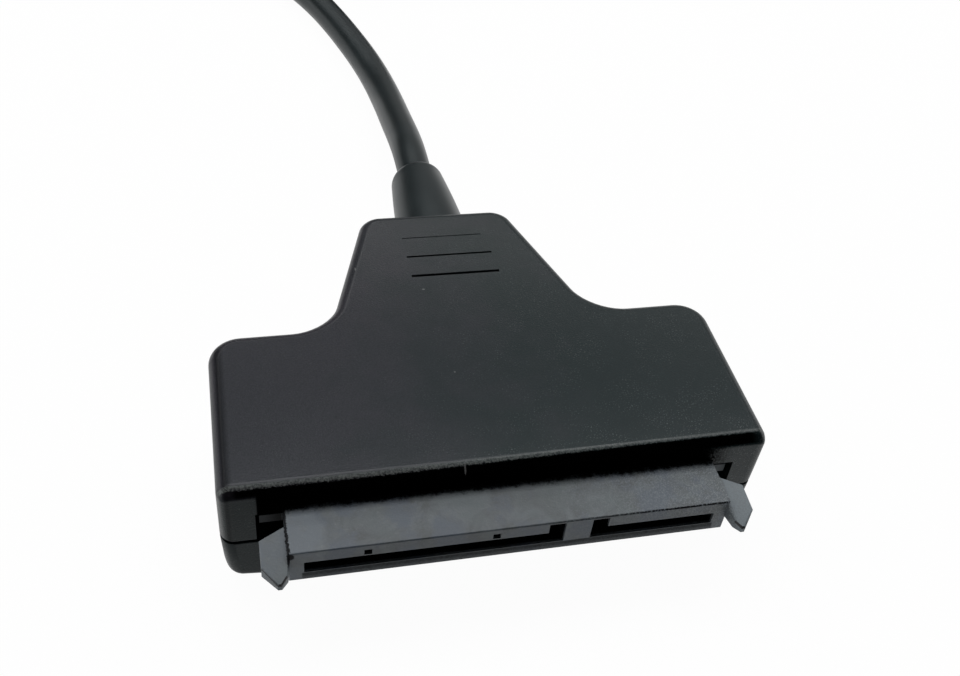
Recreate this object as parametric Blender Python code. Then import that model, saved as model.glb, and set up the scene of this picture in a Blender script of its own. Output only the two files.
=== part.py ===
"""USB to SATA drive adapter: a moulded two-shell housing with a 22-contact receptacle,
a bridge board inside, and a half-metre lead that ends in a type A plug.

Metres, +Z up. X runs along the receptacle, -Y is the side that takes the drive, and the
lead leaves at +Y. The origin is under the middle of the housing and receptacle together,
on the surface that the adapter lies on.
"""
import math

import bmesh
import bpy
from mathutils import Matrix, Vector

# Housing, whose width follows from the receptacle between its two front pillars
PILLAR_WIDTH = 0.00285
HOUSING_LENGTH = 0.0336
HEAD_LENGTH = 0.0178
NECK_FRONT_WIDTH = 0.0246
NECK_BACK_WIDTH = 0.0145
LOWER_HEIGHT = 0.0048
UPPER_HEIGHT = 0.00595
SEAM = 0.0003
WALL = 0.0015
ROOF = 0.0011
FRONT_WALL = 0.0026
FRONT_CORNER = 0.0012
SHOULDER_CORNER = 0.0028
NECK_FILLET = 0.0046
BACK_CORNER = 0.0022
EDGE_ROUND = 0.0011
BASE_ROUND = 0.0010
OPENING_GAP = 0.0003
TONGUE_HEIGHT = 0.0010
TONGUE_THICKNESS = 0.0006
GRIP_LINE_LENGTHS = (0.00785, 0.00837, 0.00849)
GRIP_LINE_START = 0.00386
GRIP_LINE_WIDTH = 0.0003
GRIP_LINE_DEPTH = 0.0003
GRIP_LINE_PITCH = 0.00284
GRIP_LINE_INSET = 0.0041

# Receptacle, whose lip notches are placed from the left end of the power slot
NOSE_HEIGHT = 0.00345
NOSE_REACH = 0.0045
NOSE_EDGE = 0.00012
NOSE_CLEARANCE = 0.0003
FLANGE_CLEARANCE = 0.00045
FLANGE_DEPTH = 0.0036
EAR_REACH = 0.00183
EAR_RISE = 0.0012
EAR_HEIGHT = 0.0009
EAR_SETBACK = 0.0005
SLOT_FLOOR = 0.00096
SLOT_HEIGHT = 0.00123
SLOT_DEPTH = 0.0049
POWER_SLOT_WIDTH = 0.02074
SIGNAL_SLOT_WIDTH = 0.01058
SLOT_DIVIDER = 0.00224
SLOT_END_WALL = 0.00119
KEY_WIDTH = 0.00138
KEY_HEIGHT = 0.00105
LIP_NOTCHES = (0.00490, 0.01508)
LIP_NOTCH_WIDTH = 0.00062
LIP_NOTCH_HEIGHT = 0.00070
LIP_NOTCH_DEPTH = 0.00080
NOSE_CORNER = 0.0003
ARM_WIDTH = 0.00203
ARM_REACH = 0.0018
ARM_ROOT = 0.0030
ARM_ROOT_SLANT = 0.00096
ARM_OUTER_SLANT = 0.0014
ARM_NIB = 0.0006
ARM_TIP_OFFSET = 0.0006
ARM_TIP_WIDTH = 0.0003
ARM_UNDERSIDE = 0.00165
ARM_TIP_HEIGHT = 0.0022
ARM_FRONT_HEIGHT = 0.0029
ARM_ROOT_HEIGHT = 0.0033
ARM_SIDE_DROP = 0.0002
ARM_EDGE = 0.0002

# Contacts of the receptacle
CONTACT_PITCH = 0.00127
CONTACT_WIDTH = 0.0006
CONTACT_THICKNESS = 0.0002
CONTACT_CLEARANCE = 0.00015
POWER_CONTACTS = 15
SIGNAL_CONTACTS = 7
CONTACT_FOOT = 0.0009
CONTACT_SETBACK = 0.0018
CONTACT_BOW = 0.0003
CONTACT_BOW_LENGTH = 0.0017
CONTACT_BEND = 0.00025

# Board and its components, whose sizes are width, depth and height
BOARD_THICKNESS = 0.0012
BOARD_MARGIN = 0.0005
BOARD_NECK_CUT = 0.0105
BOARD_BACK_CORNER = 0.0008
SEAT_GAP = 0.0003
POST_DIAMETER = 0.0022
PART_SPACING = 0.0014
CHIP_EDGE = 0.0001
BRIDGE_CHIP = (0.0060, 0.0060, 0.0009)
FLASH_CHIP = (0.0040, 0.0050, 0.0012)
CRYSTAL = (0.0025, 0.0032, 0.0007)
REGULATOR = (0.0030, 0.0016, 0.0011)
CAPACITOR = (0.0005, 0.0010, 0.0005)
CAPACITORS = 4
RESISTOR = (0.0010, 0.0005, 0.0005)
RESISTORS = 2
INDUCTOR = (0.0036, 0.0036, 0.0018)
INDUCTOR_CORNER = 0.0006
INDUCTOR_RING_DIAMETER = 0.0030
INDUCTOR_CORE_DIAMETER = 0.0022
INDUCTOR_RING_DEPTH = 0.0003

# Strain relief and lead
LEAD_DIAMETER = 0.0039
LEAD_HEIGHT = 0.0052
BOOT_OFFSET = 0.0009
BOOT_LENGTH = 0.0135
BOOT_BASE_DIAMETER = 0.0075
BOOT_TIP_DIAMETER = 0.0059
BOOT_NECK_DIAMETER = 0.0048
BOOT_MOUTH_DIAMETER = 0.0045
BOOT_FLANGE_DEPTH = 0.0016
BOOT_TAPER_POWER = 1.7
BOOT_TIP_ROUND = 0.0010
CORE_DIAMETER = 0.0007
CORE_LIFT = 0.0005
CORE_PAD_INSET = 0.0016
CORE_PAD_PITCH = 0.0012
COIL_MIDDLE_DIAMETER = 0.0406
COIL_CENTRE = (0.0100, 0.1140)
COIL_LIFT = 0.0008
TURN_SPACING = 0.0040
TURN_RISE = 0.0034
TIE_WIDTH = 0.0030
TIE_THICKNESS = 0.0005
TIE_CORNER = 0.0009

# Plug, with its contacts as places across its width
PLUG_GRIP_WIDTH = 0.0160
PLUG_GRIP_HEIGHT = 0.0076
PLUG_GRIP_LENGTH = 0.0240
PLUG_GRIP_ROUND = 0.0011
PLUG_NECK_LENGTH = 0.0050
PLUG_NECK_DIAMETER = 0.0062
PLUG_NECK_END_DIAMETER = 0.0050
PLUG_NECK_SINK = 0.0020
PLUG_SHELL_WIDTH = 0.0120
PLUG_SHELL_HEIGHT = 0.0045
PLUG_SHELL_LENGTH = 0.0188
PLUG_SHELL_WALL = 0.0003
PLUG_SHELL_CORNER = 0.0006
PLUG_POCKET = 0.0024
PLUG_WINDOW = 0.0022
PLUG_WINDOW_SETBACK = 0.0066
PLUG_WINDOW_PITCH = 0.0060
PLUG_TONGUE_HEIGHT = 0.0019
PLUG_TONGUE_SETBACK = 0.0006
PLUG_TONGUE_LEAD_IN = 0.0005
PLUG_BLOCK_LENGTH = 0.0060
PLUG_CONTACTS = (-0.0035, -0.0010, 0.0010, 0.0035)
PLUG_CONTACT_WIDTH = 0.0010
PLUG_CONTACT_LENGTH = 0.0058
PLUG_CONTACT_SETBACK = 0.0012
PLUG_FAST_CONTACTS = (-0.0040, -0.0020, 0.0, 0.0020, 0.0040)
PLUG_FAST_CONTACT_WIDTH = 0.0007
PLUG_FAST_CONTACT_LENGTH = 0.0028
PLUG_FAST_CONTACT_SETBACK = 0.0008
PLUG_CONTACT_GROOVE = 0.0003
PLUG_CONTACT_EDGE = 0.00006

# Route of the lead from the boot to the coil, and from the coil to the plug
LEAD_ROUTE = (
    (0.00095, 0.03395, 0.00520),
    (0.00102, 0.03900, 0.00512),
    (0.00106, 0.04240, 0.00466),
    (0.00100, 0.04830, 0.00364),
    (0.00086, 0.05465, 0.00267),
    (0.00039, 0.06075, 0.00211),
    (-0.00049, 0.06610, 0.00198),
    (-0.00177, 0.07160, 0.00196),
    (-0.00336, 0.07730, 0.00196),
    (-0.00546, 0.08340, 0.00196),
    (-0.00786, 0.08880, 0.00200),
    (-0.01018, 0.09400, 0.00220),
    (-0.01190, 0.09930, 0.00250),
)
TAIL_ROUTE = (
    (-0.01045, 0.12795, 0.00585),
    (-0.01036, 0.13120, 0.00552),
    (-0.01014, 0.13500, 0.00492),
    (-0.00980, 0.13900, 0.00432),
    (-0.00950, 0.14300, 0.00392),
    (-0.00930, 0.14700, 0.00380),
    (-0.00925, 0.15070, 0.00380),
)

# Sizes and places that follow
NOSE_WIDTH = 2 * SLOT_END_WALL + POWER_SLOT_WIDTH + SLOT_DIVIDER + SIGNAL_SLOT_WIDTH
EAR_WIDTH = NOSE_WIDTH + 2 * EAR_REACH
HOUSING_WIDTH = EAR_WIDTH + 2 * (OPENING_GAP + PILLAR_WIDTH)
FLANGE_WIDTH = HOUSING_WIDTH - 2 * (WALL + FLANGE_CLEARANCE)
OVERALL_LENGTH = ARM_REACH + NOSE_REACH + HOUSING_LENGTH
NOSE_Y = -OVERALL_LENGTH / 2 + ARM_REACH
FRONT_Y = NOSE_Y + NOSE_REACH
SHOULDER_Y = FRONT_Y + HEAD_LENGTH
BACK_Y = FRONT_Y + HOUSING_LENGTH
UPPER_Z = LOWER_HEIGHT + SEAM
TOP_Z = UPPER_Z + UPPER_HEIGHT
NOSE_Z = UPPER_Z + NOSE_CLEARANCE
CAVITY_Y = FRONT_Y + FRONT_WALL
FLANGE_Y = CAVITY_Y + SEAT_GAP
FLANGE_END_Y = FLANGE_Y + FLANGE_DEPTH
BOARD_TOP_Z = NOSE_Z - SEAT_GAP
BOARD_LOW_Z = BOARD_TOP_Z - BOARD_THICKNESS
PART_Z = BOARD_TOP_Z + SEAT_GAP
LEAD_RADIUS = LEAD_DIAMETER / 2
BOOT_FLANGE_RADIUS = LEAD_HEIGHT - WALL - SEAT_GAP
COIL_RADIUS = COIL_MIDDLE_DIAMETER / 2
COIL_LOW_Z = COIL_LIFT + LEAD_RADIUS
PLUG_X, PLUG_Y, PLUG_Z = TAIL_ROUTE[-1]
ARC_STEPS = 5
ROUND_STEPS = 3
BOOT_STEPS = 6
OUTWARD = 0.001

PALETTE = {
    "housing_black": ((0.040, 0.043, 0.046), 0.55, 0.0),
    "receptacle_grey": ((0.120, 0.130, 0.140), 0.50, 0.0),
    "lead_black": ((0.045, 0.050, 0.050), 0.50, 0.0),
    "contact_gold": ((0.800, 0.580, 0.220), 0.25, 1.0),
    "board_green": ((0.020, 0.110, 0.050), 0.40, 0.0),
    "chip_black": ((0.020, 0.020, 0.022), 0.45, 0.0),
    "bare_metal": ((0.700, 0.700, 0.700), 0.25, 1.0),
    "capacitor_tan": ((0.450, 0.330, 0.200), 0.50, 0.0),
    "insert_blue": ((0.020, 0.120, 0.550), 0.45, 0.0),
    "core_red": ((0.500, 0.020, 0.020), 0.45, 0.0),
    "core_white": ((0.750, 0.750, 0.730), 0.45, 0.0),
    "core_green": ((0.030, 0.300, 0.060), 0.45, 0.0),
    "tie_black": ((0.020, 0.020, 0.020), 0.60, 0.0),
}


def clear_scene():
    """Start from an empty scene."""
    for item in list(bpy.data.objects):
        bpy.data.objects.remove(item, do_unlink=True)


def make_material(name):
    """A Principled material from the palette."""
    found = bpy.data.materials.get(name)
    if found:
        return found
    colour, roughness, metallic = PALETTE[name]
    made = bpy.data.materials.new(name)
    made.use_nodes = True
    shader = made.node_tree.nodes["Principled BSDF"]
    shader.inputs["Base Color"].default_value = (*colour, 1.0)
    shader.inputs["Roughness"].default_value = roughness
    shader.inputs["Metallic"].default_value = metallic
    return made


def finish(bm, name, finish_name, smooth=30):
    """Turn a bmesh into a named object with its material and its sharp edges marked."""
    bmesh.ops.remove_doubles(bm, verts=bm.verts, dist=1e-7)
    bmesh.ops.recalc_face_normals(bm, faces=bm.faces)
    mesh = bpy.data.meshes.new(name)
    bm.to_mesh(mesh)
    bm.free()
    mesh.materials.append(make_material(finish_name))
    mesh.shade_smooth()
    mesh.set_sharp_from_angle(angle=math.radians(smooth))
    made = bpy.data.objects.new(name, mesh)
    bpy.context.scene.collection.objects.link(made)
    return made


def helper(bm, name):
    """A cutter or an addition that a modifier reads and no render shows."""
    made = finish(bm, name, "housing_black")
    made.hide_render = True
    made.display_type = "WIRE"
    return made


def combine(target, tool, operation):
    """Cut a helper from an object, or join it on, with a Boolean modifier."""
    step = target.modifiers.new(tool.name, "BOOLEAN")
    step.operation = operation
    step.object = tool
    step.solver = "EXACT"


def rounded_outline(corners, steps=ARC_STEPS):
    """Points of a closed outline whose corners (x, y, radius) are rounded with arcs."""
    points = []
    for index, (x, y, radius) in enumerate(corners):
        corner = Vector((x, y))
        before = Vector(corners[index - 1][:2]) - corner
        after = Vector(corners[(index + 1) % len(corners)][:2]) - corner
        before.normalize()
        after.normalize()
        if radius <= 0:
            points.append(corner)
            continue
        half = before.angle(after) / 2
        reach = radius / math.tan(half)
        centre = corner + (before + after).normalized() * radius / math.sin(half)
        first = corner + before * reach - centre
        last = corner + after * reach - centre
        start = math.atan2(first.y, first.x)
        turn = math.atan2(last.y, last.x) - start
        turn = (turn + math.pi) % (2 * math.pi) - math.pi
        for step in range(steps + 1):
            angle = start + turn * step / steps
            points.append(centre + radius * Vector((math.cos(angle), math.sin(angle))))
    return points


def inset(corners, distance):
    """The corners of an outline moved inwards, with radii that keep the wall even."""
    moved = []
    for index, (x, y, radius) in enumerate(corners):
        corner = Vector((x, y))
        into = (corner - Vector(corners[index - 1][:2])).normalized()
        out = (Vector(corners[(index + 1) % len(corners)][:2]) - corner).normalized()
        normals = Vector((-into.y, into.x)), Vector((-out.y, out.x))
        shift = (normals[0] + normals[1]) / (1 + normals[0].dot(normals[1])) * distance
        convex = into.cross(out) > 0
        kept = max(radius - distance, 0.0003) if convex else radius + distance
        moved.append((x + shift.x, y + shift.y, kept))
    return moved


def housing_corners():
    """Plan of the housing: a wide head with a tapering neck behind it."""
    half = HOUSING_WIDTH / 2
    neck, back = NECK_FRONT_WIDTH / 2, NECK_BACK_WIDTH / 2
    return [
        (-half, FRONT_Y, FRONT_CORNER),
        (half, FRONT_Y, FRONT_CORNER),
        (half, SHOULDER_Y, SHOULDER_CORNER),
        (neck, SHOULDER_Y, NECK_FILLET),
        (back, BACK_Y, BACK_CORNER),
        (-back, BACK_Y, BACK_CORNER),
        (-neck, SHOULDER_Y, NECK_FILLET),
        (-half, SHOULDER_Y, SHOULDER_CORNER),
    ]


def inner_corners(distance, front_y):
    """Plan of a space inside the housing, whose front edge lies at its own place."""
    corners = inset(housing_corners(), distance)
    for index in (0, 1):
        x, _, radius = corners[index]
        corners[index] = (x, front_y, radius)
    return corners


def plate(outline, axis, low, high):
    """A closed solid over a flat outline, drawn out along one axis."""
    bm = bmesh.new()
    ring = []
    for pair in outline:
        place = list(pair)
        place.insert(axis, low)
        ring.append(bm.verts.new(place))
    base = bm.faces.new(ring)
    grown = bmesh.ops.extrude_face_region(bm, geom=[base])["geom"]
    far = [item for item in grown if isinstance(item, bmesh.types.BMVert)]
    way = Vector((0, 0, 0))
    way[axis] = high - low
    bmesh.ops.translate(bm, verts=far, vec=way)
    bmesh.ops.recalc_face_normals(bm, faces=bm.faces)
    return bm


def prism(outline, low, high):
    """A solid whose (x, y) outline runs from one height to another."""
    return plate(outline, 2, low, high)


def side_plate(profile, x_low, x_high):
    """A solid whose (y, z) profile runs from one x to another."""
    return plate(profile, 0, x_low, x_high)


def front_plate(profile, y_low, y_high):
    """A solid whose (x, z) profile runs from one y to another."""
    return plate(profile, 1, y_low, y_high)


def block(low, high):
    """A closed box between two corners."""
    bm = bmesh.new()
    add_block(bm, low, high)
    return bm


def add_block(bm, low, high):
    """Put a box between two corners into a bmesh."""
    low, high = Vector(low), Vector(high)
    place = Matrix.Translation((low + high) / 2) @ Matrix.Diagonal((*(high - low), 1))
    bmesh.ops.create_cube(bm, size=1, matrix=place)


def add_post(bm, x, y, low, high, diameter, sides=12):
    """Put an upright round post into a bmesh."""
    place = Matrix.Translation((x, y, (low + high) / 2))
    radius = diameter / 2
    bmesh.ops.create_cone(
        bm, cap_ends=True, segments=sides, radius1=radius, radius2=radius,
        depth=high - low, matrix=place,
    )


def round_edges(bm, wanted, width, segments):
    """Bevel the edges that a test picks."""
    picked = [edge for edge in bm.edges if wanted(edge)]
    bmesh.ops.bevel(
        bm, geom=picked, offset=width, offset_type="OFFSET", segments=segments,
        profile=0.5, affect="EDGES", clamp_overlap=False, material=-1,
    )


def at_height(edge, z):
    """True for an edge that lies at one height."""
    return all(abs(corner.co.z - z) < 1e-7 for corner in edge.verts)


def turned_along_y(profile, x, z, steps):
    """A solid turned about a line along Y, from (y, radius) points."""
    bm = bmesh.new()
    verts = [bm.verts.new((x, y, z + radius)) for y, radius in profile]
    edges = [bm.edges.new(pair) for pair in zip(verts, verts[1:])]
    bmesh.ops.spin(
        bm, geom=verts + edges, cent=(x, 0, z), axis=(0, 1, 0),
        angle=2 * math.pi, steps=steps, use_merge=True,
    )
    bmesh.ops.remove_doubles(bm, verts=bm.verts, dist=1e-7)
    return bm


def smooth_route(points, spacing):
    """Evenly spaced points on a smooth curve through a route's own points."""
    route = [Vector(point) for point in points]
    route = [2 * route[0] - route[1], *route, 2 * route[-1] - route[-2]]
    fine = []
    for before, start, end, after in zip(route, route[1:], route[2:], route[3:]):
        for step in range(12):
            t = step / 12
            fine.append(0.5 * (
                2 * start + (end - before) * t
                + (2 * before - 5 * start + 4 * end - after) * t ** 2
                + (3 * start - before - 3 * end + after) * t ** 3
            ))
    fine.append(route[-2])
    lengths = [0.0]
    for start, end in zip(fine, fine[1:]):
        lengths.append(lengths[-1] + (end - start).length)
    count = max(2, round(lengths[-1] / spacing))
    spaced, index = [], 0
    for step in range(count + 1):
        wanted = lengths[-1] * step / count
        while index < len(fine) - 2 and lengths[index + 1] < wanted:
            index += 1
        share = (wanted - lengths[index]) / (lengths[index + 1] - lengths[index])
        spaced.append(fine[index].lerp(fine[index + 1], share))
    return spaced


def tube(name, route, diameter, finish_name, spacing, resolution=2):
    """A round lead along a smooth route."""
    points = smooth_route(route, spacing)
    curve = bpy.data.curves.new(name, "CURVE")
    curve.dimensions = "3D"
    curve.bevel_depth = diameter / 2
    curve.bevel_resolution = resolution
    curve.use_fill_caps = True
    spline = curve.splines.new("POLY")
    spline.points.add(len(points) - 1)
    for slot, point in zip(spline.points, points):
        slot.co = (*point, 1.0)
    curve.materials.append(make_material(finish_name))
    made = bpy.data.objects.new(name, curve)
    bpy.context.scene.collection.objects.link(made)
    return made


def boot_hole(name):
    """Cutter for the round hole that holds the strain relief's neck."""
    radius = BOOT_NECK_DIAMETER / 2 + SEAT_GAP
    low, high = BACK_Y - WALL - OUTWARD, BACK_Y + OUTWARD
    profile = [(low, 0), (low, radius), (high, radius), (high, 0)]
    return helper(turned_along_y(profile, BOOT_OFFSET, LEAD_HEIGHT, 24), name)


def neck_half(y):
    """Half the width of the tapering neck at one place along it."""
    share = (BACK_Y - y) / (BACK_Y - SHOULDER_Y)
    return (NECK_BACK_WIDTH + (NECK_FRONT_WIDTH - NECK_BACK_WIDTH) * share) / 2


def post_places():
    """Where the board rests: two posts behind the receptacle and two in the neck."""
    side = HOUSING_WIDTH / 2 - WALL - BOARD_MARGIN - POST_DIAMETER
    back = SHOULDER_Y - WALL - BOARD_MARGIN - POST_DIAMETER
    neck_y = BACK_Y - BOARD_NECK_CUT - POST_DIAMETER
    neck = neck_half(neck_y) - WALL - BOARD_MARGIN - POST_DIAMETER
    return [(-side, back), (side, back), (-neck, neck_y), (neck, neck_y)]


def opening_half():
    """Half the width of the opening that the receptacle's ears stand in."""
    return EAR_WIDTH / 2 + OPENING_GAP


def make_upper_shell():
    """The moulded cover: rounded roof, stepped rim, front opening and grip lines."""
    bm = prism(rounded_outline(housing_corners()), UPPER_Z, TOP_Z)
    round_edges(bm, lambda edge: at_height(edge, TOP_Z), EDGE_ROUND, 4)
    shell = finish(bm, "upper_shell", "housing_black")
    ceiling = TOP_Z - ROOF
    below = UPPER_Z - OUTWARD
    cavity = inner_corners(WALL, CAVITY_Y)
    mouth = [
        (-opening_half(), CAVITY_Y, 0),
        (-opening_half(), FRONT_Y - OUTWARD, 0),
        (opening_half(), FRONT_Y - OUTWARD, 0),
        (opening_half(), CAVITY_Y, 0),
    ]
    outline = rounded_outline([cavity[0], *mouth, *cavity[1:]])
    combine(shell, helper(prism(outline, below, ceiling), "cut_upper_cavity"), "DIFFERENCE")
    rebate = rounded_outline(inner_corners(WALL - TONGUE_THICKNESS - SEAM, CAVITY_Y))
    rebate_top = UPPER_Z + TONGUE_HEIGHT
    combine(shell, helper(prism(rebate, below, rebate_top), "cut_upper_rim"), "DIFFERENCE")
    combine(shell, boot_hole("cut_upper_boot_hole"), "DIFFERENCE")
    lines = bmesh.new()
    for index, length in enumerate(GRIP_LINE_LENGTHS):
        y = BACK_Y - GRIP_LINE_INSET - index * GRIP_LINE_PITCH
        add_block(
            lines,
            (-GRIP_LINE_START, y - GRIP_LINE_WIDTH / 2, TOP_Z - GRIP_LINE_DEPTH),
            (length - GRIP_LINE_START, y + GRIP_LINE_WIDTH / 2, TOP_Z + OUTWARD),
        )
    combine(shell, helper(lines, "cut_grip_lines"), "DIFFERENCE")
    ribs = bmesh.new()
    for x, y in post_places():
        add_post(ribs, x, y, BOARD_TOP_Z + SEAT_GAP, ceiling + ROOF / 2, POST_DIAMETER)
    rib_low = NOSE_Z + NOSE_HEIGHT + SEAT_GAP
    middle_y = FLANGE_Y + FLANGE_DEPTH / 2
    for x in (-NOSE_WIDTH / 3, 0.0, NOSE_WIDTH / 3):
        add_block(
            ribs,
            (x - WALL / 2, middle_y - FLANGE_DEPTH / 3, rib_low),
            (x + WALL / 2, middle_y + FLANGE_DEPTH / 3, ceiling + ROOF / 2),
        )
    combine(shell, helper(ribs, "add_upper_ribs"), "UNION")


def make_lower_shell():
    """The moulded tray: floor, walls, a tongue that enters the cover, and board posts."""
    bm = prism(rounded_outline(housing_corners()), 0, LOWER_HEIGHT)
    round_edges(bm, lambda edge: at_height(edge, 0), BASE_ROUND, 4)
    shell = finish(bm, "lower_shell", "housing_black")
    tongue_top = UPPER_Z + TONGUE_HEIGHT - SEAM
    tongue_y = FLANGE_END_Y + SEAT_GAP
    tongue = rounded_outline(inner_corners(WALL - TONGUE_THICKNESS, tongue_y))
    combine(shell, helper(prism(tongue, WALL, tongue_top), "add_tongue"), "UNION")
    cavity = rounded_outline(inner_corners(WALL, CAVITY_Y))
    room = helper(prism(cavity, WALL, tongue_top + OUTWARD), "cut_lower_cavity")
    combine(shell, room, "DIFFERENCE")
    combine(shell, boot_hole("cut_lower_boot_hole"), "DIFFERENCE")
    posts = bmesh.new()
    for x, y in post_places():
        add_post(posts, x, y, WALL / 2, BOARD_LOW_Z - SEAT_GAP, POST_DIAMETER)
    rib_y = FLANGE_END_Y - FLANGE_DEPTH / 2
    add_block(
        posts,
        (-NOSE_WIDTH / 3, rib_y - WALL / 2, WALL / 2),
        (NOSE_WIDTH / 3, rib_y + WALL / 2, BOARD_LOW_Z - SEAT_GAP),
    )
    combine(shell, helper(posts, "add_lower_posts"), "UNION")


def slot_spans():
    """The x range of the power slot and of the signal slot."""
    power = -NOSE_WIDTH / 2 + SLOT_END_WALL
    signal = power + POWER_SLOT_WIDTH + SLOT_DIVIDER
    return (power, power + POWER_SLOT_WIDTH), (signal, signal + SIGNAL_SLOT_WIDTH)


def contact_places():
    """Name and x of every contact, with each row in the middle of its slot."""
    power, signal = slot_spans()
    rows = (("power", power, POWER_CONTACTS), ("signal", signal, SIGNAL_CONTACTS))
    places = []
    for name, (low, high), count in rows:
        first = (low + high) / 2 - CONTACT_PITCH * (count - 1) / 2
        for index in range(count):
            places.append((f"{name}_contact_{index + 1:02d}", first + CONTACT_PITCH * index))
    return places


def slot_cutter(span, key_at_end, name):
    """Cutter for one L-shaped slot, with its key notch at one end of the slot."""
    low, high = span
    floor = NOSE_Z + SLOT_FLOOR
    roof = floor + SLOT_HEIGHT
    key_low = high - KEY_WIDTH if key_at_end else low
    key_high = high if key_at_end else low + KEY_WIDTH
    profile = [(low, floor), (high, floor)]
    if key_at_end:
        profile += [(high, roof + KEY_HEIGHT), (key_low, roof + KEY_HEIGHT)]
        profile += [(key_low, roof), (low, roof)]
    else:
        profile += [(high, roof), (key_high, roof)]
        profile += [(key_high, roof + KEY_HEIGHT), (low, roof + KEY_HEIGHT)]
    return helper(front_plate(profile, NOSE_Y - OUTWARD, NOSE_Y + SLOT_DEPTH), name)


def arm_height(y):
    """Height of a guide arm's top over the bottom of the nose: it falls towards the tip."""
    ahead = NOSE_Y - y
    if ahead < 0:
        return ARM_FRONT_HEIGHT - (ARM_ROOT_HEIGHT - ARM_FRONT_HEIGHT) * ahead / ARM_ROOT
    return ARM_FRONT_HEIGHT + (ARM_TIP_HEIGHT - ARM_FRONT_HEIGHT) * ahead / ARM_REACH


def arm_plan():
    """Plan of the right guide arm as (x, y, height of its top): a blunt arrow."""
    inner = NOSE_WIDTH / 2 - ARM_EDGE
    outer = NOSE_WIDTH / 2 + ARM_WIDTH
    tip = NOSE_Y - ARM_REACH
    tip_x = NOSE_WIDTH / 2 + ARM_TIP_OFFSET
    root = NOSE_Y + ARM_ROOT
    inner_line = [
        (inner, root),
        (inner, NOSE_Y + ARM_EDGE),
        (inner + ARM_EDGE, tip + ARM_NIB),
        (tip_x, tip),
    ]
    outer_line = [
        (tip_x + ARM_TIP_WIDTH, tip),
        (outer, tip + ARM_OUTER_SLANT),
        (outer, root - ARM_ROOT_SLANT),
    ]
    plan = [(x, y, arm_height(y)) for x, y in inner_line]
    return plan + [(x, y, arm_height(y) - ARM_SIDE_DROP) for x, y in outer_line]


def make_guide_arm(side, name):
    """A guide arm beside the nose, thin and pointed, as a helper to join on."""
    bm = bmesh.new()
    low = [bm.verts.new((side * x, y, NOSE_Z + ARM_UNDERSIDE)) for x, y, _ in arm_plan()]
    high = [bm.verts.new((side * x, y, NOSE_Z + top)) for x, y, top in arm_plan()]
    bm.faces.new(low)
    bm.faces.new(high)
    for index, start in enumerate(low):
        following = (index + 1) % len(low)
        bm.faces.new((start, low[following], high[following], high[index]))
    bmesh.ops.recalc_face_normals(bm, faces=bm.faces)
    flat = [face for face in bm.faces if len(face.verts) > 4]
    bmesh.ops.triangulate(bm, faces=flat)
    return helper(bm, name)


def make_receptacle():
    """The moulded contact block: nose, ears, hidden flange, arms, slots and channels."""
    nose, flange = NOSE_WIDTH / 2, FLANGE_WIDTH / 2
    outline = rounded_outline([
        (-nose, NOSE_Y, NOSE_CORNER),
        (nose, NOSE_Y, NOSE_CORNER),
        (nose, FLANGE_Y, 0),
        (flange, FLANGE_Y, 0),
        (flange, FLANGE_END_Y, 0),
        (-flange, FLANGE_END_Y, 0),
        (-flange, FLANGE_Y, 0),
        (-nose, FLANGE_Y, 0),
    ], steps=2)
    top = NOSE_Z + NOSE_HEIGHT
    bm = prism(outline, NOSE_Z, top)
    behind_rim = NOSE_Y + NOSE_CORNER + NOSE_EDGE

    def front_rim(edge):
        return at_height(edge, top) and all(corner.co.y < behind_rim for corner in edge.verts)

    round_edges(bm, front_rim, NOSE_EDGE, 1)
    body = finish(bm, "receptacle_body", "receptacle_grey")
    ears = bmesh.new()
    for side in (-1, 1):
        ends = sorted((side * (nose - ARM_EDGE), side * EAR_WIDTH / 2))
        add_block(
            ears,
            (ends[0], FRONT_Y + EAR_SETBACK, NOSE_Z + EAR_RISE),
            (ends[1], FLANGE_Y + EAR_SETBACK, NOSE_Z + EAR_RISE + EAR_HEIGHT),
        )
    combine(body, helper(ears, "add_ears"), "UNION")
    combine(body, make_guide_arm(1, "add_right_arm"), "UNION")
    combine(body, make_guide_arm(-1, "add_left_arm"), "UNION")
    power, signal = slot_spans()
    combine(body, slot_cutter(power, True, "cut_power_slot"), "DIFFERENCE")
    combine(body, slot_cutter(signal, False, "cut_signal_slot"), "DIFFERENCE")
    notches = bmesh.new()
    slot_roof = NOSE_Z + SLOT_FLOOR + SLOT_HEIGHT
    for offset in LIP_NOTCHES:
        x = power[0] + offset
        add_block(
            notches,
            (x - LIP_NOTCH_WIDTH / 2, NOSE_Y - OUTWARD, slot_roof - SLOT_HEIGHT / 4),
            (x + LIP_NOTCH_WIDTH / 2, NOSE_Y + LIP_NOTCH_DEPTH, slot_roof + LIP_NOTCH_HEIGHT),
        )
    combine(body, helper(notches, "cut_lip_notches"), "DIFFERENCE")
    channels = bmesh.new()
    half = CONTACT_WIDTH / 2 + CONTACT_CLEARANCE
    channel_low = contact_line_z() - CONTACT_THICKNESS / 2 - SEAT_GAP
    channel_high = contact_line_z() + CONTACT_THICKNESS / 2 + CONTACT_CLEARANCE
    for _, x in contact_places():
        add_block(
            channels,
            (x - half, NOSE_Y + SLOT_DEPTH - CONTACT_CLEARANCE, channel_low),
            (x + half, FLANGE_END_Y + OUTWARD, channel_high),
        )
    combine(body, helper(channels, "cut_contact_channels"), "DIFFERENCE")


def contact_line_z():
    """Height of the middle of a contact where it runs through the block."""
    roof = NOSE_Z + SLOT_FLOOR + SLOT_HEIGHT
    return roof - CONTACT_CLEARANCE * 2 - CONTACT_THICKNESS / 2


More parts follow.
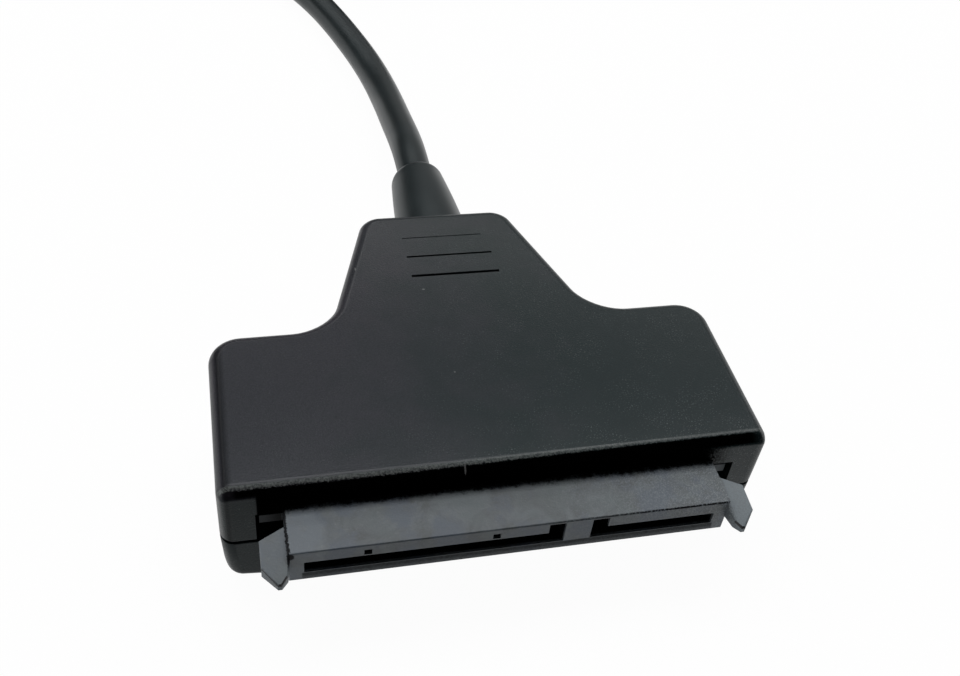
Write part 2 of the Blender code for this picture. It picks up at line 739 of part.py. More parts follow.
def thick_line(points, thickness):
    """Outline of a strip of even thickness along a (y, z) line."""
    line = [Vector(point) for point in points]
    near, far = [], []
    for index, point in enumerate(line):
        before = (point - line[index - 1]).normalized() if index else None
        after = (line[index + 1] - point).normalized() if index < len(line) - 1 else None
        before, after = before or after, after or before
        sides = [Vector((-way.y, way.x)) for way in (before, after)]
        out = (sides[0] + sides[1]) / (1 + sides[0].dot(sides[1])) * thickness / 2
        near.append(point + out)
        far.append(point - out)
    return near + far[::-1]


def make_contacts():
    """Formed strips: a sprung nose in the slot, a run through the block, a foot behind."""
    run_z = contact_line_z()
    foot_z = BOARD_TOP_Z + SEAT_GAP + CONTACT_THICKNESS / 2
    tail_y = FLANGE_END_Y + CONTACT_FOOT
    start_y = NOSE_Y + CONTACT_SETBACK
    line = [
        (start_y, run_z),
        (start_y + CONTACT_BOW_LENGTH / 2, run_z - CONTACT_BOW),
        (start_y + CONTACT_BOW_LENGTH, run_z),
        (tail_y - CONTACT_BEND, run_z),
        (tail_y, run_z - CONTACT_BEND),
        (tail_y, foot_z + CONTACT_BEND),
        (tail_y + CONTACT_BEND, foot_z),
        (tail_y + CONTACT_FOOT, foot_z),
    ]
    profile = thick_line(line, CONTACT_THICKNESS)
    for name, x in contact_places():
        strip = side_plate(profile, x - CONTACT_WIDTH / 2, x + CONTACT_WIDTH / 2)
        finish(strip, name, "contact_gold")


def board_corners():
    """Plan of the board, which follows the cavity and stops short of the boot."""
    corners = inner_corners(WALL + BOARD_MARGIN, FLANGE_Y)
    cut_y = BACK_Y - BOARD_NECK_CUT
    side, back = corners[3], corners[4]
    share = (cut_y - side[1]) / (back[1] - side[1])
    cut_x = side[0] + (back[0] - side[0]) * share
    corners[4] = (cut_x, cut_y, BOARD_BACK_CORNER)
    corners[5] = (-cut_x, cut_y, BOARD_BACK_CORNER)
    return corners


def make_board():
    """The circuit board under the receptacle."""
    bm = prism(rounded_outline(board_corners(), steps=3), BOARD_LOW_Z, BOARD_TOP_Z)
    finish(bm, "circuit_board", "board_green")


def component_block(x, y, size):
    """The box that a component fills on the board."""
    reach = Vector((size[0] / 2, size[1] / 2, 0))
    foot = Vector((x, y, PART_Z))
    return block(foot - reach, foot + reach + Vector((0, 0, size[2])))


def make_component(name, x, y, size, finish_name):
    """A moulded or plated component that stands on the board."""
    bm = component_block(x, y, size)
    round_edges(bm, lambda edge: at_height(edge, PART_Z + size[2]), CHIP_EDGE, 1)
    finish(bm, name, finish_name)


def make_inductor(name, x, y):
    """A shielded power inductor: a square body with a round core showing on top."""
    top = PART_Z + INDUCTOR[2]
    bm = component_block(x, y, INDUCTOR)

    def upright(edge):
        return not at_height(edge, PART_Z) and not at_height(edge, top)

    round_edges(bm, upright, INDUCTOR_CORNER, 2)
    body = finish(bm, name, "chip_black")
    ring = bmesh.new()
    outer, inner = INDUCTOR_RING_DIAMETER / 2, INDUCTOR_CORE_DIAMETER / 2
    low, high = top - INDUCTOR_RING_DEPTH, top + OUTWARD
    corners = [(outer, low), (outer, high), (inner, high), (inner, low)]
    verts = [ring.verts.new((x + radius, y, z)) for radius, z in corners]
    edges = [ring.edges.new(pair) for pair in zip(verts, verts[1:] + verts[:1])]
    bmesh.ops.spin(
        ring, geom=verts + edges, cent=(x, y, 0), axis=(0, 0, 1),
        angle=2 * math.pi, steps=16, use_merge=True,
    )
    combine(body, helper(ring, "cut_inductor_ring"), "DIFFERENCE")


def make_electronics():
    """What the board carries: one row behind the contacts, and two resistors in the neck."""
    row_y = FLANGE_END_Y + 2 * CONTACT_FOOT + PART_SPACING + BRIDGE_CHIP[1] / 2
    make_component("bridge_chip", 0, row_y, BRIDGE_CHIP, "chip_black")
    right = BRIDGE_CHIP[0] / 2 + PART_SPACING
    make_component("crystal", right + CRYSTAL[0] / 2, row_y, CRYSTAL, "bare_metal")
    beside_post = post_places()[1][0] - POST_DIAMETER / 2 - PART_SPACING
    make_inductor("power_inductor", beside_post - INDUCTOR[0] / 2, row_y)
    beside_inductor = beside_post - INDUCTOR[0] - PART_SPACING
    make_component("regulator", beside_inductor - REGULATOR[0] / 2, row_y, REGULATOR, "chip_black")
    flash_x = -(BRIDGE_CHIP[0] + FLASH_CHIP[0]) / 2 - PART_SPACING
    make_component("flash_chip", flash_x, row_y, FLASH_CHIP, "chip_black")
    for index in range(CAPACITORS):
        x = CAPACITOR[0] / 2 - beside_post + index * (CAPACITOR[0] + PART_SPACING)
        make_component(f"capacitor_{index + 1}", x, row_y, CAPACITOR, "capacitor_tan")
    behind = row_y + FLASH_CHIP[1] / 2 + PART_SPACING
    for index in range(RESISTORS):
        y = behind + RESISTOR[1] / 2 + index * (RESISTOR[1] + PART_SPACING / 2)
        make_component(f"resistor_{index + 1}", flash_x, y, RESISTOR, "chip_black")


def make_strain_relief():
    """The moulded boot: a flange inside, a neck in the wall and a smooth taper outside."""
    inner_y = BACK_Y - WALL - SEAT_GAP
    outer_y = BACK_Y + SEAT_GAP
    base, tip = BOOT_BASE_DIAMETER / 2, BOOT_TIP_DIAMETER / 2
    flange, neck = BOOT_FLANGE_RADIUS, BOOT_NECK_DIAMETER / 2
    end_y = BACK_Y + BOOT_LENGTH
    profile = [
        (inner_y - BOOT_FLANGE_DEPTH, 0),
        (inner_y - BOOT_FLANGE_DEPTH, flange),
        (inner_y, flange),
        (inner_y, neck),
        (outer_y, neck),
        (outer_y, base),
    ]
    round_y = end_y - BOOT_TIP_ROUND
    for step in range(1, BOOT_STEPS + 1):
        share = step / BOOT_STEPS
        y = outer_y + (round_y - outer_y) * share
        profile.append((y, base + (tip - base) * share ** BOOT_TAPER_POWER))
    for step in range(1, ROUND_STEPS + 1):
        angle = math.pi / 2 * step / ROUND_STEPS
        y = round_y + BOOT_TIP_ROUND * math.sin(angle)
        profile.append((y, tip - (1 - math.cos(angle)) * (tip - BOOT_MOUTH_DIAMETER / 2)))
    profile.append((end_y, 0))
    finish(turned_along_y(profile, BOOT_OFFSET, LEAD_HEIGHT, 28), "strain_relief", "lead_black")


def make_cores():
    """The lead's cores between the boot and their pads on the board."""
    start_y = BACK_Y - WALL - 2 * SEAT_GAP - BOOT_FLANGE_DEPTH
    pad_y = BACK_Y - BOARD_NECK_CUT - CORE_PAD_INSET
    pad_z = BOARD_TOP_Z + SEAT_GAP + CORE_DIAMETER / 2
    finishes = ("core_red", "chip_black", "core_white", "core_green", "core_white", "core_white")
    names = ("power_core", "ground_core", "data_minus_core", "data_plus_core")
    names += ("transmit_pair", "receive_pair")
    spacing = CORE_DIAMETER + SEAT_GAP
    for index, (name, shade) in enumerate(zip(names, finishes)):
        place = index - (len(names) - 1) / 2
        start_x = BOOT_OFFSET + place * spacing
        pad_x = place * CORE_PAD_PITCH
        route = [
            (start_x, start_y, LEAD_HEIGHT + CORE_LIFT),
            (start_x, start_y - 2 * CORE_DIAMETER, LEAD_HEIGHT + CORE_LIFT),
            ((start_x + pad_x) / 2, (start_y + pad_y) / 2, pad_z + CORE_LIFT),
            (pad_x, pad_y + 2 * CORE_DIAMETER, pad_z),
            (pad_x, pad_y, pad_z),
        ]
        tube(name, route, CORE_DIAMETER, shade, 2 * CORE_DIAMETER, resolution=1)


def coil_section():
    """Outline of three nested turns, two on the surface and one on top of them."""
    low = COIL_LOW_Z
    high = COIL_LOW_Z + TURN_RISE
    lean = math.degrees(math.atan2(TURN_SPACING / 2, TURN_RISE))
    turns = (
        (COIL_RADIUS + TURN_SPACING / 2, low, -90, lean),
        (COIL_RADIUS, high, lean, 180 - lean),
        (COIL_RADIUS - TURN_SPACING / 2, low, 180 - lean, 270),
    )
    points = []
    for radius, z, first, last in turns:
        for step in range(ROUND_STEPS + 1):
            angle = math.radians(first + (last - first) * step / ROUND_STEPS)
            out, up = LEAD_RADIUS * math.cos(angle), LEAD_RADIUS * math.sin(angle)
            points.append((radius + out, z + up))
    return points


def make_coil():
    """The wound part of the lead, as the solid ring that its turns fill."""
    x, y = COIL_CENTRE
    bm = bmesh.new()
    verts = [bm.verts.new((x + radius, y, z)) for radius, z in coil_section()]
    edges = [bm.edges.new(pair) for pair in zip(verts, verts[1:] + verts[:1])]
    bmesh.ops.spin(
        bm, geom=verts + edges, cent=(x, y, 0), axis=(0, 0, 1),
        angle=2 * math.pi, steps=40, use_merge=True,
    )
    finish(bm, "cable_coil", "lead_black", smooth=50)


def make_tie():
    """The strap round the coil's turns, on the side away from the plug."""
    x, y = COIL_CENTRE
    reach = TURN_SPACING / 2 + LEAD_RADIUS + SEAT_GAP
    low = COIL_LIFT - SEAT_GAP
    high = COIL_LOW_Z + TURN_RISE + LEAD_RADIUS + SEAT_GAP
    middle_x = x + COIL_RADIUS
    inner = [
        (middle_x - reach, low, TIE_CORNER),
        (middle_x + reach, low, TIE_CORNER),
        (middle_x + reach, high, TIE_CORNER),
        (middle_x - reach, high, TIE_CORNER),
    ]
    bm = bmesh.new()
    rims = []
    for corners in (inner, inset(inner, -TIE_THICKNESS)):
        outline = rounded_outline(corners, ROUND_STEPS)
        for side in (-1, 1):
            edge_y = y + side * TIE_WIDTH / 2
            rims.append([bm.verts.new((rim_x, edge_y, rim_z)) for rim_x, rim_z in outline])
    for one, other in ((0, 1), (1, 3), (3, 2), (2, 0)):
        near, far = rims[one], rims[other]
        for index in range(len(near)):
            bm.faces.new((near[index - 1], near[index], far[index], far[index - 1]))
    finish(bm, "cable_tie", "tie_black")


def make_plug_grip():
    """The moulded grip of the plug, with its tapered neck and the pocket of the shell."""
    start_y = PLUG_Y + SEAT_GAP
    body_y = start_y + PLUG_NECK_LENGTH
    end_y = body_y + PLUG_GRIP_LENGTH
    half, tall = PLUG_GRIP_WIDTH / 2, PLUG_GRIP_HEIGHT / 2
    bm = block((PLUG_X - half, body_y, PLUG_Z - tall), (PLUG_X + half, end_y, PLUG_Z + tall))
    round_edges(bm, lambda edge: True, PLUG_GRIP_ROUND, 3)
    grip = finish(bm, "plug_grip", "lead_black")
    profile = [
        (start_y, 0),
        (start_y, PLUG_NECK_END_DIAMETER / 2),
        (body_y, PLUG_NECK_DIAMETER / 2),
        (body_y + PLUG_NECK_SINK, PLUG_NECK_DIAMETER / 2),
        (body_y + PLUG_NECK_SINK, 0),
    ]
    neck_part = helper(turned_along_y(profile, PLUG_X, PLUG_Z, 20), "add_plug_neck")
    combine(grip, neck_part, "UNION")
    wide = PLUG_SHELL_WIDTH / 2 + SEAT_GAP
    high = PLUG_SHELL_HEIGHT / 2 + SEAT_GAP
    pocket = block(
        (PLUG_X - wide, end_y - PLUG_POCKET, PLUG_Z - high),
        (PLUG_X + wide, end_y + OUTWARD, PLUG_Z + high),
    )
    combine(grip, helper(pocket, "cut_plug_pocket"), "DIFFERENCE")
    return end_y


def make_plug_shell(grip_end_y):
    """The folded metal shell, open at its mouth, with two latch windows a side."""
    back_y = grip_end_y - PLUG_POCKET + SEAT_GAP
    mouth_y = grip_end_y + PLUG_SHELL_LENGTH
    half, tall = PLUG_SHELL_WIDTH / 2, PLUG_SHELL_HEIGHT / 2
    corners = [
        (PLUG_X - half, PLUG_Z - tall, PLUG_SHELL_CORNER),
        (PLUG_X + half, PLUG_Z - tall, PLUG_SHELL_CORNER),
        (PLUG_X + half, PLUG_Z + tall, PLUG_SHELL_CORNER),
        (PLUG_X - half, PLUG_Z + tall, PLUG_SHELL_CORNER),
    ]
    outside = rounded_outline(corners, ROUND_STEPS)
    shell = finish(front_plate(outside, back_y, mouth_y), "plug_shell", "bare_metal")
    inside = rounded_outline(inset(corners, PLUG_SHELL_WALL), ROUND_STEPS)
    hollow = front_plate(inside, back_y + PLUG_SHELL_WALL, mouth_y + OUTWARD)
    combine(shell, helper(hollow, "cut_shell_hollow"), "DIFFERENCE")
    windows = bmesh.new()
    window_y = mouth_y - PLUG_WINDOW_SETBACK
    for side in (-1, 1):
        x = PLUG_X + side * PLUG_WINDOW_PITCH / 2
        add_block(
            windows,
            (x - PLUG_WINDOW / 2, window_y - PLUG_WINDOW / 2, PLUG_Z - tall - OUTWARD),
            (x + PLUG_WINDOW / 2, window_y + PLUG_WINDOW / 2, PLUG_Z + tall + OUTWARD),
        )
    combine(shell, helper(windows, "cut_shell_windows"), "DIFFERENCE")
    return back_y, mouth_y


def make_plug_insert(back_y, mouth_y):
    """The coloured insert: a tongue along one side of the shell, grooved for contacts."""
    gap = CONTACT_CLEARANCE
    half = PLUG_SHELL_WIDTH / 2 - PLUG_SHELL_WALL - gap
    low = PLUG_Z - PLUG_SHELL_HEIGHT / 2 + PLUG_SHELL_WALL + gap
    top = low + PLUG_TONGUE_HEIGHT
    roof = PLUG_Z + PLUG_SHELL_HEIGHT / 2 - PLUG_SHELL_WALL - gap
    first_y = back_y + PLUG_SHELL_WALL + gap
    step_y = first_y + PLUG_BLOCK_LENGTH
    tip_y = mouth_y - PLUG_TONGUE_SETBACK
    profile = [
        (first_y, low),
        (tip_y, low),
        (tip_y, top - PLUG_TONGUE_LEAD_IN),
        (tip_y - PLUG_TONGUE_LEAD_IN, top),
        (step_y, top),
        (step_y, roof),
        (first_y, roof),
    ]
    bm = side_plate(profile, PLUG_X - half, PLUG_X + half)
    insert = finish(bm, "plug_insert", "insert_blue")
    front_y = tip_y - PLUG_CONTACT_SETBACK - PLUG_CONTACT_LENGTH
    rear_y = step_y + PLUG_FAST_CONTACT_SETBACK
    grooves = bmesh.new()
    for index, x in enumerate(PLUG_CONTACTS):
        size = (PLUG_CONTACT_WIDTH, PLUG_CONTACT_LENGTH)
        make_plug_contact(f"plug_contact_{index + 1}", x, front_y, size, top, grooves)
    for index, x in enumerate(PLUG_FAST_CONTACTS):
        size = (PLUG_FAST_CONTACT_WIDTH, PLUG_FAST_CONTACT_LENGTH)
        make_plug_contact(f"plug_fast_contact_{index + 1}", x, rear_y, size, top, grooves)
    combine(insert, helper(grooves, "cut_contact_grooves"), "DIFFERENCE")


def make_plug_contact(name, x, start_y, size, tongue_top, grooves):
    """A flat contact in the tongue, and the groove that it lies in."""
    width, length = size
    gap = CONTACT_CLEARANCE
    left, right = PLUG_X + x - width / 2, PLUG_X + x + width / 2
    base = tongue_top - PLUG_CONTACT_GROOVE
    low = (left - gap, start_y - gap, base)
    add_block(grooves, low, (right + gap, start_y + length + gap, tongue_top + OUTWARD))
    top = base + gap + CONTACT_THICKNESS
    strip = block((left, start_y, base + gap), (right, start_y + length, top))
    round_edges(strip, lambda edge: at_height(edge, top), PLUG_CONTACT_EDGE, 1)
    finish(strip, name, "contact_gold")


def main():
    """Build every piece of the adapter."""
    clear_scene()
    make_upper_shell()
    make_lower_shell()
    make_receptacle()
    make_contacts()
    make_board()
    make_electronics()
    make_strain_relief()
    make_cores()
    tube("cable", LEAD_ROUTE, LEAD_DIAMETER, "lead_black", 0.0040)
    make_coil()
    tube("cable_tail", TAIL_ROUTE, LEAD_DIAMETER, "lead_black", 0.0040)
    make_tie()
    grip_end_y = make_plug_grip()
    back_y, mouth_y = make_plug_shell(grip_end_y)
    make_plug_insert(back_y, mouth_y)


main()
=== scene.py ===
"""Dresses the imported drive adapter: its moulded shells, receptacle, lead and plug, a finish on
every carried-over part, and a pale studio with the photograph's camera."""
import math
from functools import reduce

import bmesh
import bpy
from bpy.props import FloatProperty, FloatVectorProperty, IntProperty
from mathutils import Matrix, Vector


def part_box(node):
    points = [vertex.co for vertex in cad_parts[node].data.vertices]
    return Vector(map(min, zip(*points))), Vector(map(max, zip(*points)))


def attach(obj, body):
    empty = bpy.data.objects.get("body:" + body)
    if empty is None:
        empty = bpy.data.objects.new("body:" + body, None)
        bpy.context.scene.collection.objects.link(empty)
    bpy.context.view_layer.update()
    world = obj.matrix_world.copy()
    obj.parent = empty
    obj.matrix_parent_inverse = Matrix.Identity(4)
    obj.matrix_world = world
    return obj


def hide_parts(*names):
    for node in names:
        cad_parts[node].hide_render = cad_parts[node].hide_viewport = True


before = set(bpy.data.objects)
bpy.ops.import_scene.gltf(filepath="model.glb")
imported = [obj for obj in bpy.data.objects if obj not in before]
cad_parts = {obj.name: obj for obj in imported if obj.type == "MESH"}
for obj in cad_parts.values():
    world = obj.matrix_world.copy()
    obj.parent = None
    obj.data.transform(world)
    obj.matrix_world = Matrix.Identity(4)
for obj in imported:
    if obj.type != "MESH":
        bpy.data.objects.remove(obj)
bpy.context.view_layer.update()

bl_info = {
    "name": "Drive adapter",
    "version": (1, 0, 0),
    "blender": (4, 5, 0),
    "location": "3D View > Sidebar > Drive adapter",
    "description": "Models and finishes a moulded drive adapter with its lead and plug",
    "category": "Add Mesh",
}

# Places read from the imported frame, in metres
COVER_LOW, COVER_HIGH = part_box("upper_shell")
TRAY_LOW, TRAY_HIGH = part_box("lower_shell")
BLOCK_LOW, BLOCK_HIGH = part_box("receptacle_body")
BOOT_LOW, BOOT_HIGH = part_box("strain_relief")
TIE_LOW, TIE_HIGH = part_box("cable_tie")
GRIP_LOW, GRIP_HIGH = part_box("plug_grip")
SHELL_LOW, SHELL_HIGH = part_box("plug_shell")
COIL_LOW, COIL_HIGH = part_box("cable_coil")
HALF_WIDTH = COVER_HIGH.x
FRONT_Y, BACK_Y = COVER_LOW.y, COVER_HIGH.y
SEAM_Z, TOP_Z = COVER_LOW.z, COVER_HIGH.z
SEAM = 0.0003
FRONT_CORNER = 0.0012
BASE_ROUND = 0.0010
TRAY_TOP_Z = SEAM_Z - SEAM
BLOCK_Z = BLOCK_LOW.z
LINTEL_Z = 0.0083
TIE_WALL = 0.0005

# Route of the lead from the boot to the coil, and from the coil to the plug
LEAD_ROUTE = (
    (0.00095, 0.03395, 0.00520), (0.00102, 0.03900, 0.00512), (0.00106, 0.04240, 0.00466),
    (0.00100, 0.04830, 0.00364), (0.00086, 0.05465, 0.00267), (0.00039, 0.06075, 0.00211),
    (-0.00049, 0.06610, 0.00198), (-0.00177, 0.07160, 0.00196), (-0.00336, 0.07730, 0.00196),
    (-0.00546, 0.08340, 0.00196), (-0.00786, 0.08880, 0.00200), (-0.01018, 0.09400, 0.00220),
    (-0.01190, 0.09930, 0.00250),
)
TAIL_ROUTE = (
    (-0.01045, 0.12795, 0.00585), (-0.01036, 0.13120, 0.00552), (-0.01014, 0.13500, 0.00492),
    (-0.00980, 0.13900, 0.00432), (-0.00950, 0.14300, 0.00392), (-0.00930, 0.14700, 0.00380),
    (-0.00925, 0.15070, 0.00380),
)

# Bits of lint on the roof and a scratch on its front edge, as (centre, reach)
LINT = (
    ((-0.0090, 0.0118, 0.01105), (0.00012, 0.00040, 0.0002)),
    ((-0.0031, 0.0082, 0.01105), (0.00022, 0.00014, 0.0002)),
    ((-0.0023, -0.0028, 0.01105), (0.00012, 0.00012, 0.0002)),
    ((-0.0035, -0.0133, 0.01070), (0.00012, 0.00070, 0.0007)),
)

# Greys of the marks on the mouldings and of the painted highlight along the roof's front edge, and the
# blacks of painted shade where no light gets
SALT_GREY = (0.09, 0.10, 0.10, 1)
HIGHLIGHT_GREY = (0.108, 0.116, 0.112, 1)
LINT_GREY = (0.11, 0.11, 0.11, 1)
FRONT_BLACK = (0.0004, 0.0004, 0.0004, 1)
SLOT_BLACK = (0.0005, 0.0005, 0.0005, 1)

# Slots, keys and the notches over the power slot, in the standard's sizes
SLOT_START, SLOT_GAP = 0.00119, 0.00224
POWER_SLOT, SIGNAL_SLOT = 0.02074, 0.01058
SLOT_FLOOR_Z = BLOCK_Z + 0.00096
SLOT_ROOF_Z = SLOT_FLOOR_Z + 0.00123
SLOT_DEPTH = 0.0049
KEY_WIDTH, KEY_HEIGHT = 0.00138, 0.00105
NOTCH_PLACES, NOTCH_HALF = (0.00490, 0.01508), 0.00031

# Grip lines over the neck: lengths from the back one on, their left ends, pitch and first place
GRIP_LENGTHS = (0.00785, 0.00837, 0.00849)
GRIP_LEFT, GRIP_PITCH, GRIP_START = -0.00386, 0.00284, 0.0041

# Front edge of the roof from its start on top to the front face, as (behind, below) in metres
FRONT_EDGE = (
    (0.00112, 0.0), (0.00104, 0.000006), (0.00094, 0.000024), (0.00080, 0.000060),
    (0.00066, 0.000120), (0.00055, 0.000195), (0.00044, 0.000310), (0.00030, 0.000460),
    (0.00017, 0.000600), (0.00006, 0.000720), (0.0, 0.000860),
)


def metres(name, description, default):
    """A length that a user may change."""
    return FloatProperty(name=name, description=description, default=default, unit="LENGTH")


def paint(name, description, default):
    """A colour that a user may change."""
    return FloatVectorProperty(name=name, description=description, default=default, subtype="COLOR")


class ADAPTER_PG_housing(bpy.types.PropertyGroup):
    """Sizes and colour of the moulded housing."""

    head_length: metres("Head length", "From the front face to the shoulders", 0.0178)
    neck_front: metres("Neck at the shoulders", "Width of the neck where it meets the head", 0.0246)
    neck_back: metres("Neck at the back", "Width of the neck where the lead leaves it", 0.0145)
    edge_round: metres("Roof rounding", "Radius of the roof's edge at the sides and the back", 0.0011)
    opening_width: metres("Opening width", "Between the two front pillars", 0.0402)
    wall: metres("Wall", "Thickness of the side walls", 0.0015)
    groove_width: metres("Groove width", "Width of a grip groove", 0.00026)
    colour: paint("Colour", "Colour of the moulded housing", (0.0085, 0.0105, 0.0115))


class ADAPTER_PG_receptacle(bpy.types.PropertyGroup):
    """Sizes and colour of the contact block."""

    nose_width: metres("Nose width", "Width of the block between its arms", 0.03594)
    nose_height: metres("Nose height", "Height of the block", 0.00345)
    arm_reach: metres("Arm reach", "How far a guide arm passes the block's face", 0.0018)
    arm_width: metres("Arm width", "How far a guide arm stands out beside the block", 0.00203)
    colour: paint("Colour", "Colour of the contact block", (0.068, 0.079, 0.086))


class ADAPTER_PG_lead(bpy.types.PropertyGroup):
    """Sizes and colour of the lead, its boot and its coil."""

    diameter: metres("Diameter", "Outer diameter of the lead", 0.0039)
    length: metres("Length", "Length of the lead from boot to plug", 0.5)
    turn_points: IntProperty(
        name="Points in a turn", description="Route points in each turn of the coil", default=24,
    )
    colour: paint("Colour", "Colour of the jacket and the boot", (0.0055, 0.0088, 0.0098))


class ADAPTER_PG_stage(bpy.types.PropertyGroup):
    """The studio's light."""

    overhead: FloatProperty(
        name="Overhead light", description="Power of the lamp above the object, in watts", default=3.1,
    )
    ambient: FloatProperty(
        name="Surroundings", description="Strength of the light from all round", default=1.0,
    )


def group(name):
    """One of the add-on's property groups on the scene."""
    return getattr(bpy.context.scene, f"adapter_{name}")


# Modelling helpers


def mesh_of(bm, name):
    """A mesh made from a bmesh, which is freed."""
    mesh = bpy.data.meshes.new(name)
    bm.to_mesh(mesh)
    bm.free()
    return mesh


def placed(name, data):
    """A new object in the scene."""
    made = bpy.data.objects.new(name, data)
    bpy.context.scene.collection.objects.link(made)
    return made


def to_piece(bm, name, material, slot, stands_for, smooth=32):
    """Turn a bmesh into a finished piece that rides on the body."""
    bmesh.ops.remove_doubles(bm, verts=bm.verts, dist=1e-7)
    bmesh.ops.recalc_face_normals(bm, faces=bm.faces)
    mesh = mesh_of(bm, name)
    mesh.materials.append(material)
    mesh.shade_smooth()
    mesh.set_sharp_from_angle(angle=math.radians(smooth))
    piece = placed(name, mesh)
    piece.modifiers.new("weighted_normals", "WEIGHTED_NORMAL").keep_sharp = True
    settle(piece, slot, stands_for)
    return piece


def settle(piece, slot, *stands_for):
    """Let a piece ride on the body and hide the CAD nodes it stands for; its slot is not used."""
    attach(piece, "root")
    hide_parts(*stands_for)


def bevel(bm, edges, offset, segments):
    """Round edges with an even bevel."""
    bmesh.ops.bevel(
        bm, geom=list(edges), offset=offset, offset_type="OFFSET", segments=segments,
        profile=0.5, affect="EDGES", clamp_overlap=False, material=-1,
    )


def walled(plan, z):
    """A closed shape over a plan (x, y, anything), still flat, and the vertices of its top."""
    bm = bmesh.new()
    base = bm.faces.new([bm.verts.new((x, y, z)) for x, y, _ in plan])
    grown = bmesh.ops.extrude_face_region(bm, geom=[base])["geom"]
    return bm, [item for item in grown if isinstance(item, bmesh.types.BMVert)]


def block_over(corners, low, high, steps=10):
    """An upright block over a plan whose corners (x, y, radius) are rounded."""
    bm, top = walled(corners, low)
    bmesh.ops.translate(bm, verts=top, vec=(0, 0, high - low))
    bmesh.ops.recalc_face_normals(bm, faces=bm.faces)
    for index, (x, y, radius) in enumerate(corners):
        if radius <= 0:
            continue
        here = Vector((x, y))
        before = Vector(corners[index - 1][:2]) - here
        after = Vector(corners[(index + 1) % len(corners)][:2]) - here
        upright = [edge for edge in bm.edges if stands_at(edge, x, y)]
        bevel(bm, upright, radius / math.tan(before.angle(after) / 2), steps)
    return bm


def stands_at(edge, x, y):
    """True for an upright edge at one place of the plan."""
    return all(abs(v.co.x - x) < 1e-7 and abs(v.co.y - y) < 1e-7 for v in edge.verts)


def rim(bm, z):
    """The edges that lie at one height."""
    return [edge for edge in bm.edges if all(abs(v.co.z - z) < 1e-7 for v in edge.verts)]


def edges_along(bm):
    """The edges that run from front to back."""
    return [edge for edge in bm.edges if abs(edge.verts[0].co.y - edge.verts[1].co.y) > 0.001]


def add_box(bm, low, high):
    """Put a box between two corners into a bmesh."""
    low, high = Vector(low), Vector(high)
    place = Matrix.Translation((low + high) / 2) @ Matrix.Diagonal((*(high - low), 1))
    bmesh.ops.create_cube(bm, size=1, matrix=place)


def box(low, high):
    """A box between two corners."""
    bm = bmesh.new()
    add_box(bm, low, high)
    return bm


def join(bm, tool, operation="UNION"):
    """The bmesh after a Boolean with another one."""
    for part in (bm, tool):
        bmesh.ops.recalc_face_normals(part, faces=part.faces)
    target, cutter = (placed("boolean", mesh_of(part, "boolean")) for part in (bm, tool))
    step = target.modifiers.new("step", "BOOLEAN")
    step.operation = operation
    step.object = cutter
    step.solver = "EXACT"
    result = bmesh.new()
    result.from_object(target, bpy.context.evaluated_depsgraph_get())
    for item in (target, cutter):
        mesh = item.data
        bpy.data.objects.remove(item)
        bpy.data.meshes.remove(mesh)
    bmesh.ops.remove_doubles(result, verts=result.verts, dist=1e-7)
    return result


def cut(bm, *tools):
    """The bmesh without the space of each tool in turn."""
    return reduce(lambda left, tool: join(left, tool, "DIFFERENCE"), tools, bm)


def turned(profile, x, z, steps):
    """A solid turned about a line along Y from (y, radius) points."""
    bm = bmesh.new()
    verts = [bm.verts.new((x, y, z + radius)) for y, radius in profile]
    edges = [bm.edges.new(pair) for pair in zip(verts, verts[1:])]
    bmesh.ops.spin(
        bm, geom=verts + edges, cent=(x, 0, z), axis=(0, 1, 0),
        angle=2 * math.pi, steps=steps, use_merge=True,
    )
    bmesh.ops.remove_doubles(bm, verts=bm.verts, dist=1e-7)
    return bm


def smoothstep(low, high, value):
    """A soft step from 0 to 1 between two values."""
    share = min(max((value - low) / (high - low), 0), 1)
    return share * share * (3 - 2 * share)


def inset(corners, distance):
    """A plan moved inwards, with radii that keep its wall even."""
    moved = []
    for index, (x, y, radius) in enumerate(corners):
        here = Vector((x, y))
        into = (here - Vector(corners[index - 1][:2])).normalized()
        out = (Vector(corners[(index + 1) % len(corners)][:2]) - here).normalized()
        normals = Vector((-into.y, into.x)), Vector((-out.y, out.x))
        shift = (normals[0] + normals[1]) / (1 + normals[0].dot(normals[1])) * distance
        kept = max(radius - distance, 0.0003) if into.cross(out) > 0 else radius + distance
        moved.append((x + shift.x, y + shift.y, kept))
    return moved


def nose_places():
    """The nose's half width, the y of its front and the z of its top."""
    sizes = group("receptacle")
    return sizes.nose_width / 2, BLOCK_LOW.y + sizes.arm_reach, BLOCK_Z + sizes.nose_height


# Materials


def new_material(name):
    """A Principled material, as itself, its shader and the Object coordinates."""
    material = bpy.data.materials.new(name)
    material.use_nodes = True
    nodes = material.node_tree.nodes
    return material, nodes["Principled BSDF"], nodes.new("ShaderNodeTexCoord").outputs["Object"]


def feed(made, inputs):
    """Link or set a node's sockets."""
    for key, value in inputs.items():
        if isinstance(value, bpy.types.NodeSocket):
            made.id_data.links.new(value, made.inputs[key])
        else:
            made.inputs[key].default_value = value


def node(kind, inputs, **settings):
    """Add a node to the tree that its inputs come from, with its attributes and sockets set."""
    sockets = [value for value in inputs.values() if isinstance(value, bpy.types.NodeSocket)]
    made = sockets[0].id_data.nodes.new(kind)
    for key, value in settings.items():
        setattr(made, key, value)
    feed(made, inputs)
    return made


def noise(place, scale, detail=2.0, roughness=0.5, distortion=0.0):
    """A noise pattern of so many cells a metre."""
    inputs = {
        "Vector": place, "Scale": scale, "Detail": detail,
        "Roughness": roughness, "Distortion": distortion,
    }
    return node("ShaderNodeTexNoise", inputs).outputs["Fac"]


def ramp(value, low, high, start=0.0, end=1.0):
    """A value mapped from one range to another, and kept inside it."""
    inputs = {0: value, 1: low, 2: high, 3: start, 4: end}
    return node("ShaderNodeMapRange", inputs).outputs[0]


